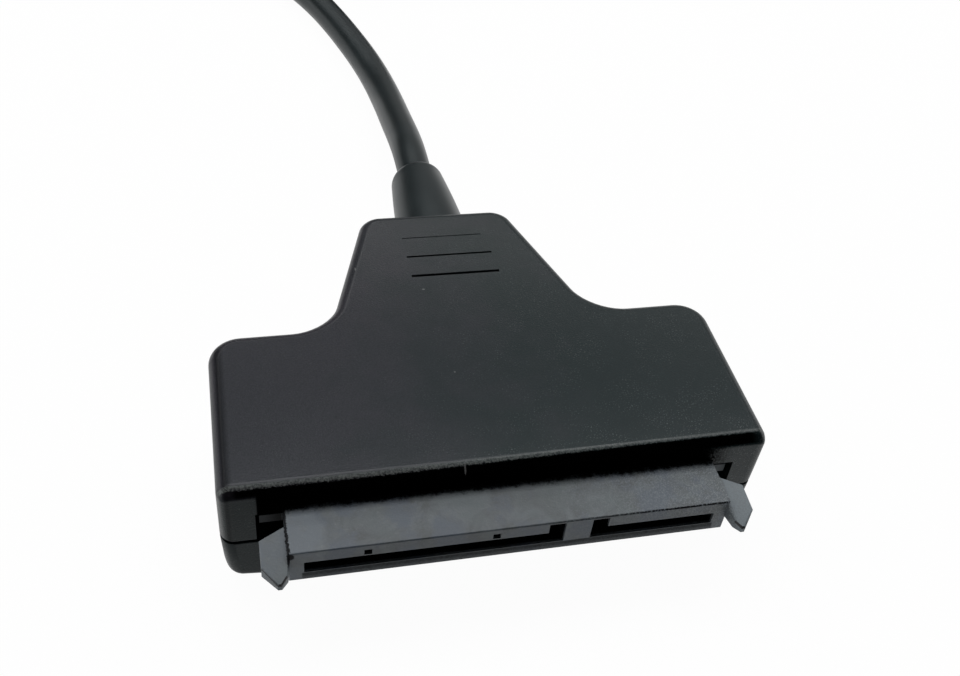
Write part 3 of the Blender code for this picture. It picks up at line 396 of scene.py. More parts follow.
def maths(operation, first, second=0.0):
    """One operation on two values."""
    return node("ShaderNodeMath", {0: first, 1: second}, operation=operation).outputs[0]


def times(*values):
    """The product of two or more values."""
    return reduce(lambda first, second: maths("MULTIPLY", first, second), values)


def largest(*values):
    """The largest of two or more values."""
    return reduce(lambda first, second: maths("MAXIMUM", first, second), values)


def strayed(value, pattern, reach):
    """A value moved to both sides by a pattern."""
    return maths("ADD", value, times(maths("SUBTRACT", pattern, 0.5), reach))


def mixed(factor, first, second):
    """A mix of two colours."""
    return node("ShaderNodeMix", {0: factor, 6: first, 7: second}, data_type="RGBA").outputs[2]


def layered(base, *layers):
    """A colour with others laid over it in turn, each as (share, colour)."""
    return reduce(lambda under, layer: mixed(layer[0], under, layer[1]), layers, base)


def tinted(colour, *factors):
    """A colour with a factor for each of its three parts, as a shader takes it."""
    return (*(part * factor for part, factor in zip(colour, factors)), 1.0)


def tone(colour, factor):
    """A colour made lighter or darker, as a shader takes it."""
    return tinted(colour, factor, factor, factor)


def bump(height, distance, strength):
    """A bump from a height pattern."""
    inputs = {"Height": height, "Distance": distance, "Strength": strength}
    return node("ShaderNodeBump", inputs).outputs["Normal"]


def axes(place):
    """A place's three coordinates."""
    return node("ShaderNodeSeparateXYZ", {0: place}).outputs


def spot(place, centre, reach, wander):
    """1 inside an oval about a point, with a soft and wandering outline."""
    kind = "ShaderNodeVectorMath"
    offset = node(kind, {0: place, 1: centre}, operation="SUBTRACT").outputs[0]
    scaled = node(kind, {0: offset, 1: reach}, operation="DIVIDE").outputs[0]
    length = node(kind, {0: scaled}, operation="LENGTH").outputs["Value"]
    length = maths("ADD", length, times(noise(place, 4000), wander))
    return ramp(length, 0.75, 1.0, 1.0, 0.0)


def fading(shader, key, full, least, where, top):
    """Let an input fall from full to its least value where a value rises from 0 to its top."""
    shader.inputs[key].default_value = full
    feed(shader, {key: ramp(where, 0.0, top, full, least)})


def moulded_finish(name, colour, with_roof_light_and_lint=True):
    """Spark-grained black moulding: fine grain, faint handling marks and painted light brighter on the
    left; on the cover also a painted highlight and painted shade on the front edge.
    """
    material, shader, place = new_material(name)
    grain = noise(place, 6500, detail=3.0, roughness=0.65)
    broad = noise(place, 160, detail=3.0, roughness=0.55)
    across, depth, height = axes(place)
    # Painted light: the roof brighter and lavender on the left, darker and greener on the right and on
    # the walls below its edge.
    side = ramp(strayed(across, broad, 0.03), -0.012, 0.006)
    side = largest(side, ramp(height, TOP_Z - 0.0012, TOP_Z - 0.0004, 1.0, 0.0))
    salt = times(
        ramp(noise(place, 7600, detail=1.0), 0.62, 0.70),
        ramp(across, -0.010, 0.014, 0.25, 0.90),
        ramp(noise(place, 520), 0.40, 0.62, 0.15, 1.0),
        ramp(depth, FRONT_Y + 0.002, FRONT_Y + 0.008, 1.0, 0.6),
    )
    base = layered(
        mixed(side, tinted(colour, 2.45, 1.70, 2.10), tinted(colour, 0.45, 0.85, 0.85)),
        (ramp(grain, 0.62, 0.36, 0.0, 0.45), tone(colour, 0.35)),
        (salt, SALT_GREY),
    )
    dull = times(front_face(depth), ramp(across, -0.018, 0.018, 0.40, 0.05))
    if with_roof_light_and_lint:
        base, dull = roof_painted_light_and_lint(place, colour, grain, base, dull)
    fading(shader, "Specular IOR Level", 0.13, 0.0, dull, 1.0)
    fading(shader, "Coat Weight", 0.22, 0.0, dull, 1.0)
    feed(shader, {
        "Base Color": base,
        "Roughness": ramp(broad, 0.3, 0.7, 0.38, 0.44),
        "Specular Tint": (0.76, 0.96, 1.0, 1),
        "Coat Roughness": 0.14,
        "Normal": bump(grain, 0.00004, 0.7),
        "Coat Normal": bump(grain, 0.00003, 0.18),
    })
    return material


def roof_painted_light_and_lint(place, colour, grain, base, dull):
    """Colour and dullness of the cover: painted shade along its left edge, on its front edge and over
    the nose, a painted highlight on the front edge, and lint.
    """
    across, depth, height = axes(place)
    aside = maths("ABSOLUTE", across)
    # Painted shade: a dark band just inside the roof's left edge.
    left_edge_shade = times(
        ramp(across, -HALF_WIDTH + 0.00045, -HALF_WIDTH + 0.00065),
        ramp(across, -HALF_WIDTH + 0.00085, -HALF_WIDTH + 0.00135, 0.6, 0.0),
    )
    # Painted highlight: a pale ragged strip along the roof's front edge, fainter to the right.
    painted_highlight = times(
        front_strip(place, 0.00054, 0.00090, grain),
        ramp(grain, 0.42, 0.58, 0.30, 1.0),
        ramp(across, -0.004, 0.016, 0.95, 0.36),
    )
    # Painted shade: black on the lower part of the roof's rounded front edge, fading out at the corners.
    edge = times(
        front_strip(place, -0.0002, 0.00052, grain),
        ramp(aside, HALF_WIDTH - 0.00155, HALF_WIDTH - 0.00065, 1.0, 0.0),
    )
    # Painted shade: black on the front face over the nose, from the left pillar to a grainy end at the
    # right one.
    painted_lintel_shade = times(
        ramp(across, -0.0201, -0.0199),
        ramp(strayed(across, grain, 0.005), 0.0176, 0.0196, 1.0, 0.0),
        front_face(depth),
        ramp(height, LINTEL_Z - 0.0002, LINTEL_Z - 0.0001),
    )
    black = largest(edge, painted_lintel_shade)
    lint = [(times(spot(place, *mark, 0.5), 0.8), LINT_GREY) for mark in LINT]
    base = layered(
        base, (left_edge_shade, tone(colour, 0.3)), (painted_highlight, HIGHLIGHT_GREY), (black, FRONT_BLACK), *lint,
    )
    return base, largest(dull, left_edge_shade, black)


def front_face(depth):
    """1 on the housing's front face."""
    return ramp(depth, FRONT_Y + 0.0002, FRONT_Y + 0.0004, 1.0, 0.0)


def front_strip(place, near, far, grain):
    """1 on a ragged strip of the roof's front edge between two distances behind the front face."""
    across, depth, height = axes(place)
    depth = strayed(depth, grain, 0.0003)
    depth = maths("SUBTRACT", depth, ramp(across, -0.010, 0.018, 0.0, 0.0003))
    near, far, soft = FRONT_Y + near, FRONT_Y + far, 0.00005
    return times(
        ramp(depth, near - soft, near + soft),
        ramp(depth, far - soft, far + soft, 1.0, 0.0),
        ramp(height, TOP_Z - 0.00085, TOP_Z - 0.0006),
    )


def connector_finish(name, colour):
    """Smooth blue-grey moulding with blotches, scuffs and dark lines, painted light on the right guide
    arm, and painted shade in the slots, on the ears, on the lip under the slots and in the roof's ragged
    shadow.
    """
    material, shader, place = new_material(name)
    across, _, _ = axes(place)
    edge, _, _ = nose_places()
    blotch = noise(place, 330, detail=5.0, roughness=0.62, distortion=0.8)
    patch = noise(place, 260, detail=4.0, roughness=0.6)
    fine = noise(place, 5200)
    grain = noise(place, 9000, roughness=0.7)
    scuff = ramp(noise(place, 2200, detail=5.0, roughness=0.75), 0.57, 0.72)
    worn_end = ramp(strayed(across, blotch, 0.005), -0.0149, -0.0154)
    speckled = times(ramp(grain, 0.50, 0.60), ramp(across, 0.002, 0.019, 0.06, 0.65))
    # Painted light: the right guide arm lighter, broken up by the grain.
    right_arm_light = ramp(across, edge + 0.0001, edge + 0.0004)
    right_arm_light = times(right_arm_light, ramp(grain, 0.40, 0.60, 0.75, 1.0))
    coarse = ramp(noise(place, 4200, detail=4.0, roughness=0.8), 0.42, 0.58)
    # Painted shade on the lip under the slots; connector_shade gives the slots, the ears and the roof's
    # shadow.
    dark, lip_shade, shade = connector_lines(place, fine), lip_painted_shade(place), connector_shade(place)
    base = layered(
        mixed(ramp(blotch, 0.38, 0.62), tone(colour, 0.62), tone(colour, 1.32)),
        (ramp(patch, 0.50, 0.60, 0.0, 0.7), tinted(colour, 0.84, 0.92, 1.12)),
        (ramp(patch, 0.40, 0.50, 0.5, 0.0), tinted(colour, 0.96, 1.05, 1.00)),
        (times(scuff, 0.35), tone(colour, 2.2)),
        (times(worn_end, 0.26), tone(colour, 2.4)),
        (speckled, tone(colour, 2.6)),
        (right_arm_light, tone(colour, 2.5)),
        (dark, (0.004, 0.004, 0.005, 1)),
        # painted shade on the lip, broken by coarse grain
        (lip_shade, mixed(coarse, tone(colour, 0.03), tone(colour, 0.38))),
        (times(shade, 0.97), SLOT_BLACK),
    )
    fading(shader, "Specular IOR Level", 0.36, 0.04, largest(lip_shade, shade, dark), 0.9)
    feed(shader, {
        "Base Color": base,
        "Roughness": ramp(blotch, 0.3, 0.7, 0.40, 0.52),
        "Normal": bump(fine, 0.00003, 0.5),
    })
    return material


def connector_lines(place, fine):
    """1 on the dark line over the slots, the joint at the left arm and the chip beside it."""
    edge, nose_y, top = nose_places()
    across, depth, height = axes(place)
    line = times(
        ramp(height, top - 0.00013, top - 0.00009),
        ramp(depth, nose_y + 0.00010, nose_y + 0.00016, 1.0, 0.0),
        ramp(fine, 0.35, 0.50),
        ramp(across, -0.002, 0.012, 0.10, 0.95),
    )
    from_arm = strayed(maths("ADD", across, edge - 0.00004), fine, 0.0004)
    joint = times(
        ramp(maths("ABSOLUTE", from_arm), 0.00008, 0.00014, 0.95, 0.0),
        ramp(height, 0.0079, 0.0081),
    )
    chip = spot(place, (-edge + 0.0002, nose_y, 0.00846), (0.00036, 0.0005, 0.00044), 0.3)
    return largest(line, joint, chip)


def lip_painted_shade(place):
    """1 on the nose's lip under the slots, where shade is painted, weaker towards its lower edge."""
    across, _, height = axes(place)
    return times(
        ramp(height, SLOT_FLOOR_Z - 0.00008, SLOT_FLOOR_Z, 1.0, 0.0),
        ramp(maths("ABSOLUTE", across), 0.0169, 0.0170, 1.0, 0.0),
        ramp(height, BLOCK_Z + 0.0002, BLOCK_Z + 0.0006, 0.45, 0.85),
    )


def connector_shade(place):
    """1 where little light comes: in the slots, on the ears and in the roof's ragged shadow."""
    edge, nose_y, _ = nose_places()
    across, depth, height = axes(place)
    aside = maths("ABSOLUTE", across)
    inside = times(
        ramp(depth, nose_y + 0.00018, nose_y + 0.00030),
        ramp(height, BLOCK_Z + 0.00324, BLOCK_Z + 0.00330, 1.0, 0.0),
        ramp(aside, 0.01700, 0.01710, 1.0, 0.0),
    )
    ragged = strayed(depth, noise(place, 1300, detail=5.0, roughness=0.75), 0.0020)
    shadow = times(
        ramp(aside, edge, edge + 0.0001, 1.0, 0.0),
        ramp(ragged, FRONT_Y - 0.0006, FRONT_Y - 0.0001),
    )
    ears = times(
        ramp(across, -edge - 0.0018, -edge - 0.0004, 0.70, 0.95),
        ramp(across, 0.0, edge, 1.0, 0.55),
        ramp(aside, edge, edge + 0.0001),
        ramp(depth, FRONT_Y, FRONT_Y + 0.0002),
    )
    blot = spot(place, (0.0003, -0.01397, 0.00855), (0.0009, 0.00035, 0.0006), 0.6)
    return largest(inside, shadow, ears, blot)


def mottle(shader, colour, pattern, factors, roughness):
    """Give a colour and a roughness that follow one pattern, each between two values."""
    dark, pale = (tone(colour, factor) for factor in factors)
    feed(shader, {
        "Base Color": mixed(ramp(pattern, 0.3, 0.7), dark, pale),
        "Roughness": ramp(pattern, 0.3, 0.7, *roughness),
    })


def jacket_finish(name, colour):
    """Satin extruded jacket or soft moulding."""
    material, shader, place = new_material(name)
    mottle(shader, colour, noise(place, 300, detail=3.0), (0.85, 1.2), (0.30, 0.36))
    feed(shader, {
        "Specular IOR Level": 0.26,
        "Specular Tint": (0.84, 0.97, 1.0, 1),
        "Normal": bump(noise(place, 8000), 0.00001, 0.3),
    })
    return material


def plain_moulding(name, colour, roughness=0.45, cells=900):
    """A small moulded or insulated part, with faint mottling."""
    material, shader, place = new_material(name)
    broad = noise(place, cells, detail=3.0)
    mottle(shader, colour, broad, (0.85, 1.12), (roughness - 0.05, roughness + 0.06))
    feed(shader, {"Normal": bump(noise(place, cells * 8), 0.00001, 0.3)})
    return material


def metal_finish(name, colour, roughness, stretch):
    """Plated sheet metal with fine drawn lines along one axis."""
    material, shader, place = new_material(name)
    drawn = node("ShaderNodeMapping", {"Vector": place, "Scale": stretch})
    lines = noise(drawn.outputs[0], 6000, detail=3.0)
    mottle(shader, colour, lines, (0.88, 1.05), (roughness - 0.05, roughness + 0.08))
    feed(shader, {"Metallic": 1.0, "Normal": bump(lines, 0.000004, 0.4)})
    return material


def board_finish(name):
    """Green solder mask over copper tracks."""
    material, shader, place = new_material(name)
    stepped = node("ShaderNodeMapping", {"Vector": place, "Scale": (900, 450, 1)}).outputs[0]
    inputs = {"Vector": stepped, "Scale": 1.0, "Mortar Size": 0.14, "Mortar Smooth": 0.2}
    tracks = node("ShaderNodeTexBrick", inputs).outputs["Fac"]
    feed(shader, {
        "Base Color": mixed(tracks, (0.012, 0.075, 0.032, 1), (0.020, 0.125, 0.055, 1)),
        "Roughness": 0.35,
        "Normal": bump(tracks, 0.00003, 0.6),
    })
    return material


def capacitor_finish(name):
    """Ceramic body with tinned ends."""
    material, shader, place = new_material(name)
    speck = noise(place, 9000)
    low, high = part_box("capacitor_1")
    _, along, _ = axes(place)
    from_middle = maths("ABSOLUTE", maths("SUBTRACT", along, (low.y + high.y) / 2))
    ends = maths("GREATER_THAN", from_middle, (high.y - low.y) * 0.30)
    body = mixed(speck, (0.36, 0.25, 0.14, 1), (0.48, 0.35, 0.22, 1))
    feed(shader, {
        "Base Color": mixed(ends, body, (0.62, 0.62, 0.62, 1)),
        "Metallic": ends,
        "Roughness": ramp(speck, 0.3, 0.7, 0.35, 0.50),
    })
    return material


# Housing


def housing_plan():
    """Plan of the housing as corners (x, y, radius)."""
    sizes = group("housing")
    half, shoulder_y = HALF_WIDTH, FRONT_Y + sizes.head_length
    neck, back = sizes.neck_front / 2, sizes.neck_back / 2
    return [
        (-half, FRONT_Y, FRONT_CORNER),
        (half, FRONT_Y, FRONT_CORNER),
        (half, shoulder_y, 0.0028),
        (neck, shoulder_y, 0.0046),
        (back, BACK_Y, 0.0022),
        (-back, BACK_Y, 0.0022),
        (-neck, shoulder_y, 0.0046),
        (-half, shoulder_y, 0.0028),
    ]


def room_plan(wall, front_y):
    """Plan of a space inside the housing, whose front edge has its own place."""
    corners = inset(housing_plan(), wall)
    for index in (0, 1):
        corners[index] = (corners[index][0], front_y, corners[index][2])
    return corners


def boot_hole():
    """Cutter for the round hole in the back wall."""
    radius, centre = 0.0027, (BOOT_LOW + BOOT_HIGH) / 2
    low, high = BACK_Y - 0.0025, BACK_Y + 0.001
    profile = [(low, 0), (low, radius), (high, radius), (high, 0)]
    return turned(profile, centre.x, centre.z, 32)


def fold_front(bm, sizes):
    """Give the roof's front edge its own profile: a soft start, then a steep flat."""
    radius, corner = sizes.edge_round, FRONT_CORNER
    steps = len(FRONT_EDGE) - 1
    for vert in bm.verts:
        behind, below = vert.co.y - FRONT_Y, TOP_Z - vert.co.z
        if behind > corner + 1e-6 or below > radius + 1e-6:
            continue
        aside = max(abs(vert.co.x) - (HALF_WIDTH - corner), 0)
        way = math.atan2(aside, max(corner - behind, 1e-9))
        reach = radius + math.hypot(aside, corner - behind) - corner
        turn = math.atan2(max(reach, 0), max(radius - below, 0))
        facing = 1 - smoothstep(0.15, 1.25, way) * smoothstep(0, 0.6, turn)
        place = turn / (math.pi / 2) * steps
        index = min(int(place), steps - 1)
        share = place - index
        pairs = zip(FRONT_EDGE[index], FRONT_EDGE[index + 1])
        new_behind, new_below = (first + (second - first) * share for first, second in pairs)
        vert.co.y += (FRONT_Y + new_behind - vert.co.y) * facing
        vert.co.z += (TOP_Z - new_below - vert.co.z) * facing


def draft_tray(bm):
    """Lean the tray's sides in towards the base and keep its front's base edge tight."""
    tight_half, curved_z = HALF_WIDTH - 0.0035, 0.0022
    planes = [((x, 0, 0), (1, 0, 0)) for x in (-tight_half, tight_half)]
    planes += [((0, 0, z), (0, 0, 1)) for z in (curved_z, 0.0015)]
    for place, normal in planes:
        everything = bm.verts[:] + bm.edges[:] + bm.faces[:]
        bmesh.ops.bisect_plane(bm, geom=everything, plane_co=place, plane_no=normal)
    for vert in bm.verts:
        behind = vert.co.y - FRONT_Y
        if behind < BASE_ROUND + 1e-6 and vert.co.z < BASE_ROUND + 1e-6:
            tight = 0.6 + 0.4 * smoothstep(tight_half, HALF_WIDTH - 0.0012, abs(vert.co.x))
            vert.co.y = FRONT_Y + behind * tight
            vert.co.z *= tight
        low = max(1 - vert.co.z / curved_z, 0)
        vert.co.x *= 1 - 0.013 * max(1 - vert.co.z / TRAY_TOP_Z, 0) - 0.017 * low ** 2


def make_cover():
    """The cover: rounded roof, front opening between two pillars and grip grooves."""
    sizes = group("housing")
    bm = block_over(housing_plan(), SEAM_Z, TOP_Z)
    bevel(bm, rim(bm, TOP_Z), sizes.edge_round, 10)
    bevel(bm, rim(bm, SEAM_Z), 0.00010, 2)
    fold_front(bm, sizes)
    half, cavity_y, ceiling = sizes.opening_width / 2, FRONT_Y + 0.0026, TOP_Z - 0.0011
    bm = cut(bm, block_over(room_plan(sizes.wall, cavity_y), SEAM_Z - 0.001, ceiling, 6))
    block = group("receptacle")
    nose = block.nose_width / 2 + 0.00015
    for reach, height in ((half, LINTEL_Z), (nose, BLOCK_Z + block.nose_height + 0.0001)):
        mouth = box((-reach, FRONT_Y - 0.001, SEAM_Z - 0.001), (reach, cavity_y + 0.0005, height))
        bm = cut(bm, mouth)
    rebate = block_over(room_plan(sizes.wall - 0.0009, cavity_y), SEAM_Z - 0.001, SEAM_Z + 0.001, 6)
    bm = cut(bm, rebate, boot_hole())
    grooves = bmesh.new()
    for index, length in enumerate(GRIP_LENGTHS):
        y = BACK_Y - GRIP_START - index * GRIP_PITCH
        reach = sizes.groove_width * (0.28 + 0.17 * index)
        low = (GRIP_LEFT, y - reach, TOP_Z - 0.00005 - 0.00012 * index)
        add_box(grooves, low, (GRIP_LEFT + length, y + reach, TOP_Z + 0.001))
    bm = cut(bm, grooves)
    material = moulded_finish("housing_cover_black", sizes.colour)
    return to_piece(bm, "cover", material, "housing_plastic", "upper_shell")


def make_tray():
    """The tray: floor, walls and the tongue that enters the cover."""
    sizes = group("housing")
    bm = block_over(housing_plan(), TRAY_LOW.z, TRAY_TOP_Z)
    bevel(bm, rim(bm, TRAY_LOW.z), BASE_ROUND, 8)
    bevel(bm, rim(bm, TRAY_TOP_Z), 0.00010, 2)
    draft_tray(bm)
    tongue_plan = room_plan(sizes.wall - 0.0006, BLOCK_HIGH.y + SEAM)
    tongue = block_over(tongue_plan, TRAY_LOW.z + sizes.wall, TRAY_HIGH.z, 6)
    bm = join(bm, tongue)
    room = block_over(
        room_plan(sizes.wall, FRONT_Y + 0.0026), TRAY_LOW.z + sizes.wall, TRAY_HIGH.z + 0.001, 6,
    )
    bm = cut(bm, room, boot_hole())
    material = moulded_finish("housing_tray_black", sizes.colour, with_roof_light_and_lint=False)
    return to_piece(bm, "tray", material, "housing_plastic", "lower_shell")


# Receptacle


def slot_spans(nose):
    """The x range of the power slot and of the signal slot."""
    power = -nose + SLOT_START
    signal = power + POWER_SLOT + SLOT_GAP
    return (power, power + POWER_SLOT), (signal, signal + SIGNAL_SLOT)


def slot_cutter(span, key_at_end):
    """Cutter for one slot with its key notch."""
    _, nose_y, _ = nose_places()
    front, back = nose_y - 0.001, nose_y + SLOT_DEPTH
    bm = box((span[0], front, SLOT_FLOOR_Z), (span[1], back, SLOT_ROOF_Z))
    start = span[1] - KEY_WIDTH if key_at_end else span[0]
    key = box((start, front, SLOT_FLOOR_Z), (start + KEY_WIDTH, back, SLOT_ROOF_Z + KEY_HEIGHT))
    return join(bm, key)


def arm_plan(side, sizes):
    """Plan of a guide arm as (x, y, top's height over the block's bottom)."""
    edge, nose_y, _ = nose_places()
    tip = BLOCK_LOW.y
    points = [
        (edge - 0.0002, nose_y + 0.0030, 0.00330),
        (edge - 0.0002, nose_y + 0.0002, 0.00295),
        (edge + 0.0001, tip + 0.0006, 0.00245),
        (edge + 0.0006, tip, 0.00220),
        (edge + 0.0009, tip, 0.00220),
        (edge + sizes.arm_width, tip + 0.0014, 0.00270),
        (edge + sizes.arm_width, nose_y + 0.00204, 0.00290),
    ]
    return [(side * x, y, z) for x, y, z in points]


def make_arm(side, sizes):
    """A guide arm with rounded upper edges."""
    plan = arm_plan(side, sizes)
    bm, tops = walled(plan, BLOCK_Z + 0.00165)
    for vert in tops:
        nearest = min(plan, key=lambda point: (vert.co.x - point[0]) ** 2 + (vert.co.y - point[1]) ** 2)
        vert.co.z = BLOCK_Z + nearest[2]
    bmesh.ops.recalc_face_normals(bm, faces=bm.faces)
    high = set(tops)
    bevel(bm, [edge for edge in bm.edges if all(v in high for v in edge.verts)], 0.00014, 2)
    return bm


def make_receptacle():
    """The contact block: nose, ears, flange, guide arms and keyed slots."""
    sizes = group("receptacle")
    nose, nose_y, top = nose_places()
    flange_y = FRONT_Y + 0.0029
    bm = box((-nose, nose_y, BLOCK_Z), (nose, flange_y + 0.001, top))
    front = [edge for edge in bm.edges if all(v.co.y < nose_y + 1e-6 for v in edge.verts)]
    bevel(bm, front, 0.00012, 3)
    flange = box((-BLOCK_HIGH.x, flange_y, BLOCK_Z), (BLOCK_HIGH.x, BLOCK_HIGH.y, top))
    bm = join(bm, flange)
    for side in (-1, 1):
        low_x, high_x = sorted((side * (nose - 0.0002), side * (nose + 0.00183)))
        ear_z = BLOCK_Z + 0.0012
        ear = box((low_x, FRONT_Y + 0.0005, ear_z), (high_x, flange_y + 0.0005, ear_z + 0.0009))
        bm = join(bm, ear)
        bm = join(bm, make_arm(side, sizes))
    power, signal = slot_spans(nose)
    bm = cut(bm, slot_cutter(power, True), slot_cutter(signal, False))
    for offset in NOTCH_PLACES:
        x = power[0] + offset
        notch = box(
            (x - NOTCH_HALF, nose_y - 0.001, SLOT_ROOF_Z + 0.00012),
            (x + NOTCH_HALF, nose_y + 0.0008, SLOT_ROOF_Z + 0.00070),
        )
        bm = cut(bm, notch)
    # Painted shade: the sloping faces along the guide arms' top edges get a dark second material.
    for face in bm.faces:
        centre = face.calc_center_median()
        on_arm = abs(centre.x) > nose and centre.y < nose_y + 0.0004 and centre.z > BLOCK_Z + 0.0017
        if on_arm and 0.05 < face.normal.z < 0.88:
            face.material_index = 1
    material = connector_finish("receptacle_blue_grey", sizes.colour)
    piece = to_piece(bm, "receptacle", material, "receptacle_plastic", "receptacle_body")
    # The dark second material is painted shade on the arms' edges.
    piece.data.materials.append(plain_moulding("receptacle_arm_edge_shade", (0.010, 0.011, 0.012), 0.5))
    return piece


# Lead and boot


def boot_profile():
    """The boot's outline as (y, radius)."""
    inner_y, outer_y = BACK_Y - 0.0018, BACK_Y + 0.0003
    end_y = BOOT_HIGH.y
    profile = [(BOOT_LOW.y, 0), (BOOT_LOW.y, 0.0034), (inner_y, 0.0034)]
    profile += [(inner_y, 0.0024), (outer_y, 0.0024)]
    round_y, base, tip = end_y - 0.00105, 0.00376, 0.00296
    for step in range(17):
        share = step / 16
        profile.append((outer_y + (round_y - outer_y) * share, base - (base - tip) * share ** 1.7))
    for step in range(1, 9):
        angle = math.pi / 2 * step / 8
        radius = tip - (1 - math.cos(angle)) * 0.00072
        profile.append((round_y + 0.00105 * math.sin(angle), radius))
    profile += [(end_y - 0.0006, 0.00205), (end_y - 0.0006, 0)]
    return profile


def make_boot():
    """The strain relief: a smooth tapered boot with a rounded mouth."""
    centre = (BOOT_LOW + BOOT_HIGH) / 2
    bm = turned(boot_profile(), centre.x, centre.z, 64)
    material = jacket_finish("boot_satin_black", group("lead").colour)
    return to_piece(bm, "boot", material, "boot_rubber", "strain_relief", smooth=40)


def coil_points(sizes):
    """Route points of the three turns: two on the surface and one over them."""
    centre = (COIL_LOW + COIL_HIGH) / 2
    low_z = COIL_LOW.z + sizes.diameter / 2
    outer, inner, top = 0.0223, 0.0183, 0.0203
    lift = 0.00394
    points = []
    count = 3 * sizes.turn_points
    for index in range(count + 1):
        turned_by = 1080 * index / count
        radius = outer + (inner - outer) * smoothstep(295, 350, turned_by)
        height = low_z
        if turned_by > 635:
            radius = inner + 0.0002
            radius += (top - radius) * smoothstep(725, 820, turned_by)
            radius += 0.0020 * smoothstep(980, 1045, turned_by)
            aside = min(abs(radius - outer), abs(radius - inner))
            rest = math.sqrt(lift ** 2 - min(aside, 0.0020) ** 2)
            height += rest * smoothstep(635, 685, turned_by)
        angle = math.radians(180 - turned_by)
        points.append(centre + Vector((radius * math.cos(angle), radius * math.sin(angle), 0)))
        points[-1].z = height
    return points


def lead_route(sizes):
    """Every route point of the lead, from inside the boot to the plug."""
    route = [Vector(LEAD_ROUTE[0]) - Vector((0, 0.0012, 0))]
    route += [Vector(point) for point in LEAD_ROUTE]
    route += coil_points(sizes)
    route += [Vector(point) for point in TAIL_ROUTE]
    return route + [Vector((route[-1].x, GRIP_LOW.y + 0.0006, route[-1].z))]


def make_lead():
    """The lead as one curve: out of the boot, down to the surface, coiled and on to the plug."""
    sizes = group("lead")
    curve = bpy.data.curves.new("lead", "CURVE")
    curve.dimensions = "3D"
    curve.resolution_u = 6
    curve.bevel_depth = sizes.diameter / 2
    curve.bevel_resolution = 5
    curve.use_fill_caps = True
    spline = curve.splines.new("BEZIER")
    route = lead_route(sizes)
    spline.bezier_points.add(len(route) - 1)
    for knot, point in zip(spline.bezier_points, route):
        knot.co = point
        knot.handle_left_type = knot.handle_right_type = "AUTO"
    curve.materials.append(jacket_finish("lead_satin_black", sizes.colour))
    piece = placed("lead", curve)
    settle(piece, "lead_jacket", "cable", "cable_coil", "cable_tail")
    return piece


def make_tie():
    """The strap round the coil's turns."""
    bm = box(TIE_LOW, TIE_HIGH)
    bevel(bm, edges_along(bm), 0.0014, 6)
    inwards = Vector((TIE_WALL, -TIE_WALL, TIE_WALL))
    hole = box(TIE_LOW + inwards, TIE_HIGH - inwards)
    bevel(hole, edges_along(hole), 0.0009, 6)
    bm = cut(bm, hole)
    material = plain_moulding("tie_matt_black", (0.012, 0.012, 0.012), 0.6)
    return to_piece(bm, "coil_tie", material, "tie_plastic", "cable_tie")


# Plug


def make_plug_grip():
    """The moulded grip: soft-edged body, tapered neck and the shell's pocket."""
    neck = 0.005
    middle = (GRIP_LOW + GRIP_HIGH) / 2
    bm = box((GRIP_LOW.x, GRIP_LOW.y + neck, GRIP_LOW.z), GRIP_HIGH)
    bevel(bm, bm.edges[:], 0.0011, 6)
    profile = [
        (GRIP_LOW.y, 0), (GRIP_LOW.y, 0.0023), (GRIP_LOW.y + 0.0003, 0.00255),
        (GRIP_LOW.y + neck, 0.0031), (GRIP_LOW.y + neck + 0.002, 0.0031), (GRIP_LOW.y + neck + 0.002, 0),
    ]
    bm = join(bm, turned(profile, middle.x, middle.z, 40))
    gap = 0.0003
    pocket = box(
        (SHELL_LOW.x - gap, SHELL_LOW.y - gap, SHELL_LOW.z - gap),
        (SHELL_HIGH.x + gap, GRIP_HIGH.y + 0.001, SHELL_HIGH.z + gap),
    )
    bm = cut(bm, pocket)
    material = jacket_finish("plug_grip_satin_black", group("lead").colour)
    return to_piece(bm, "plug_grip_moulding", material, "plug_mould", "plug_grip")


def make_plug_shell():
    """The folded metal shell with its latch windows and its mouth left open."""
    wall = 0.0003
    bm = box(SHELL_LOW, SHELL_HIGH)
    bevel(bm, edges_along(bm), 0.0006, 5)
    hollow = box(
        (SHELL_LOW.x + wall, SHELL_LOW.y + wall, SHELL_LOW.z + wall),
        (SHELL_HIGH.x - wall, SHELL_HIGH.y + 0.001, SHELL_HIGH.z - wall),
    )
    bevel(hollow, edges_along(hollow), 0.0003, 4)
    bm = cut(bm, hollow)
    middle = (SHELL_LOW + SHELL_HIGH) / 2
    half, y = 0.0011, SHELL_HIGH.y - 0.0066
    for x in (middle.x - 0.003, middle.x + 0.003):
        low, high = SHELL_LOW.z - 0.001, SHELL_HIGH.z + 0.001
        bm = cut(bm, box((x - half, y - half, low), (x + half, y + half, high)))
    seam = box(
        (middle.x - 0.00004, SHELL_LOW.y - 0.001, SHELL_LOW.z - 0.001),
        (middle.x + 0.00004, SHELL_HIGH.y + 0.001, SHELL_LOW.z + 0.00012),
    )
    bm = cut(bm, seam)
    material = metal_finish("plug_shell_nickel", (0.66, 0.66, 0.65), 0.22, (1, 0.05, 1))
    return to_piece(bm, "plug_shell_folded", material, "plated_metal", "plug_shell")


# Carried-over parts


def finish_node(name, material):
    """Give a carried-over CAD node its finish."""
    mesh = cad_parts[name].data
    mesh.materials.clear()
    mesh.materials.append(material)


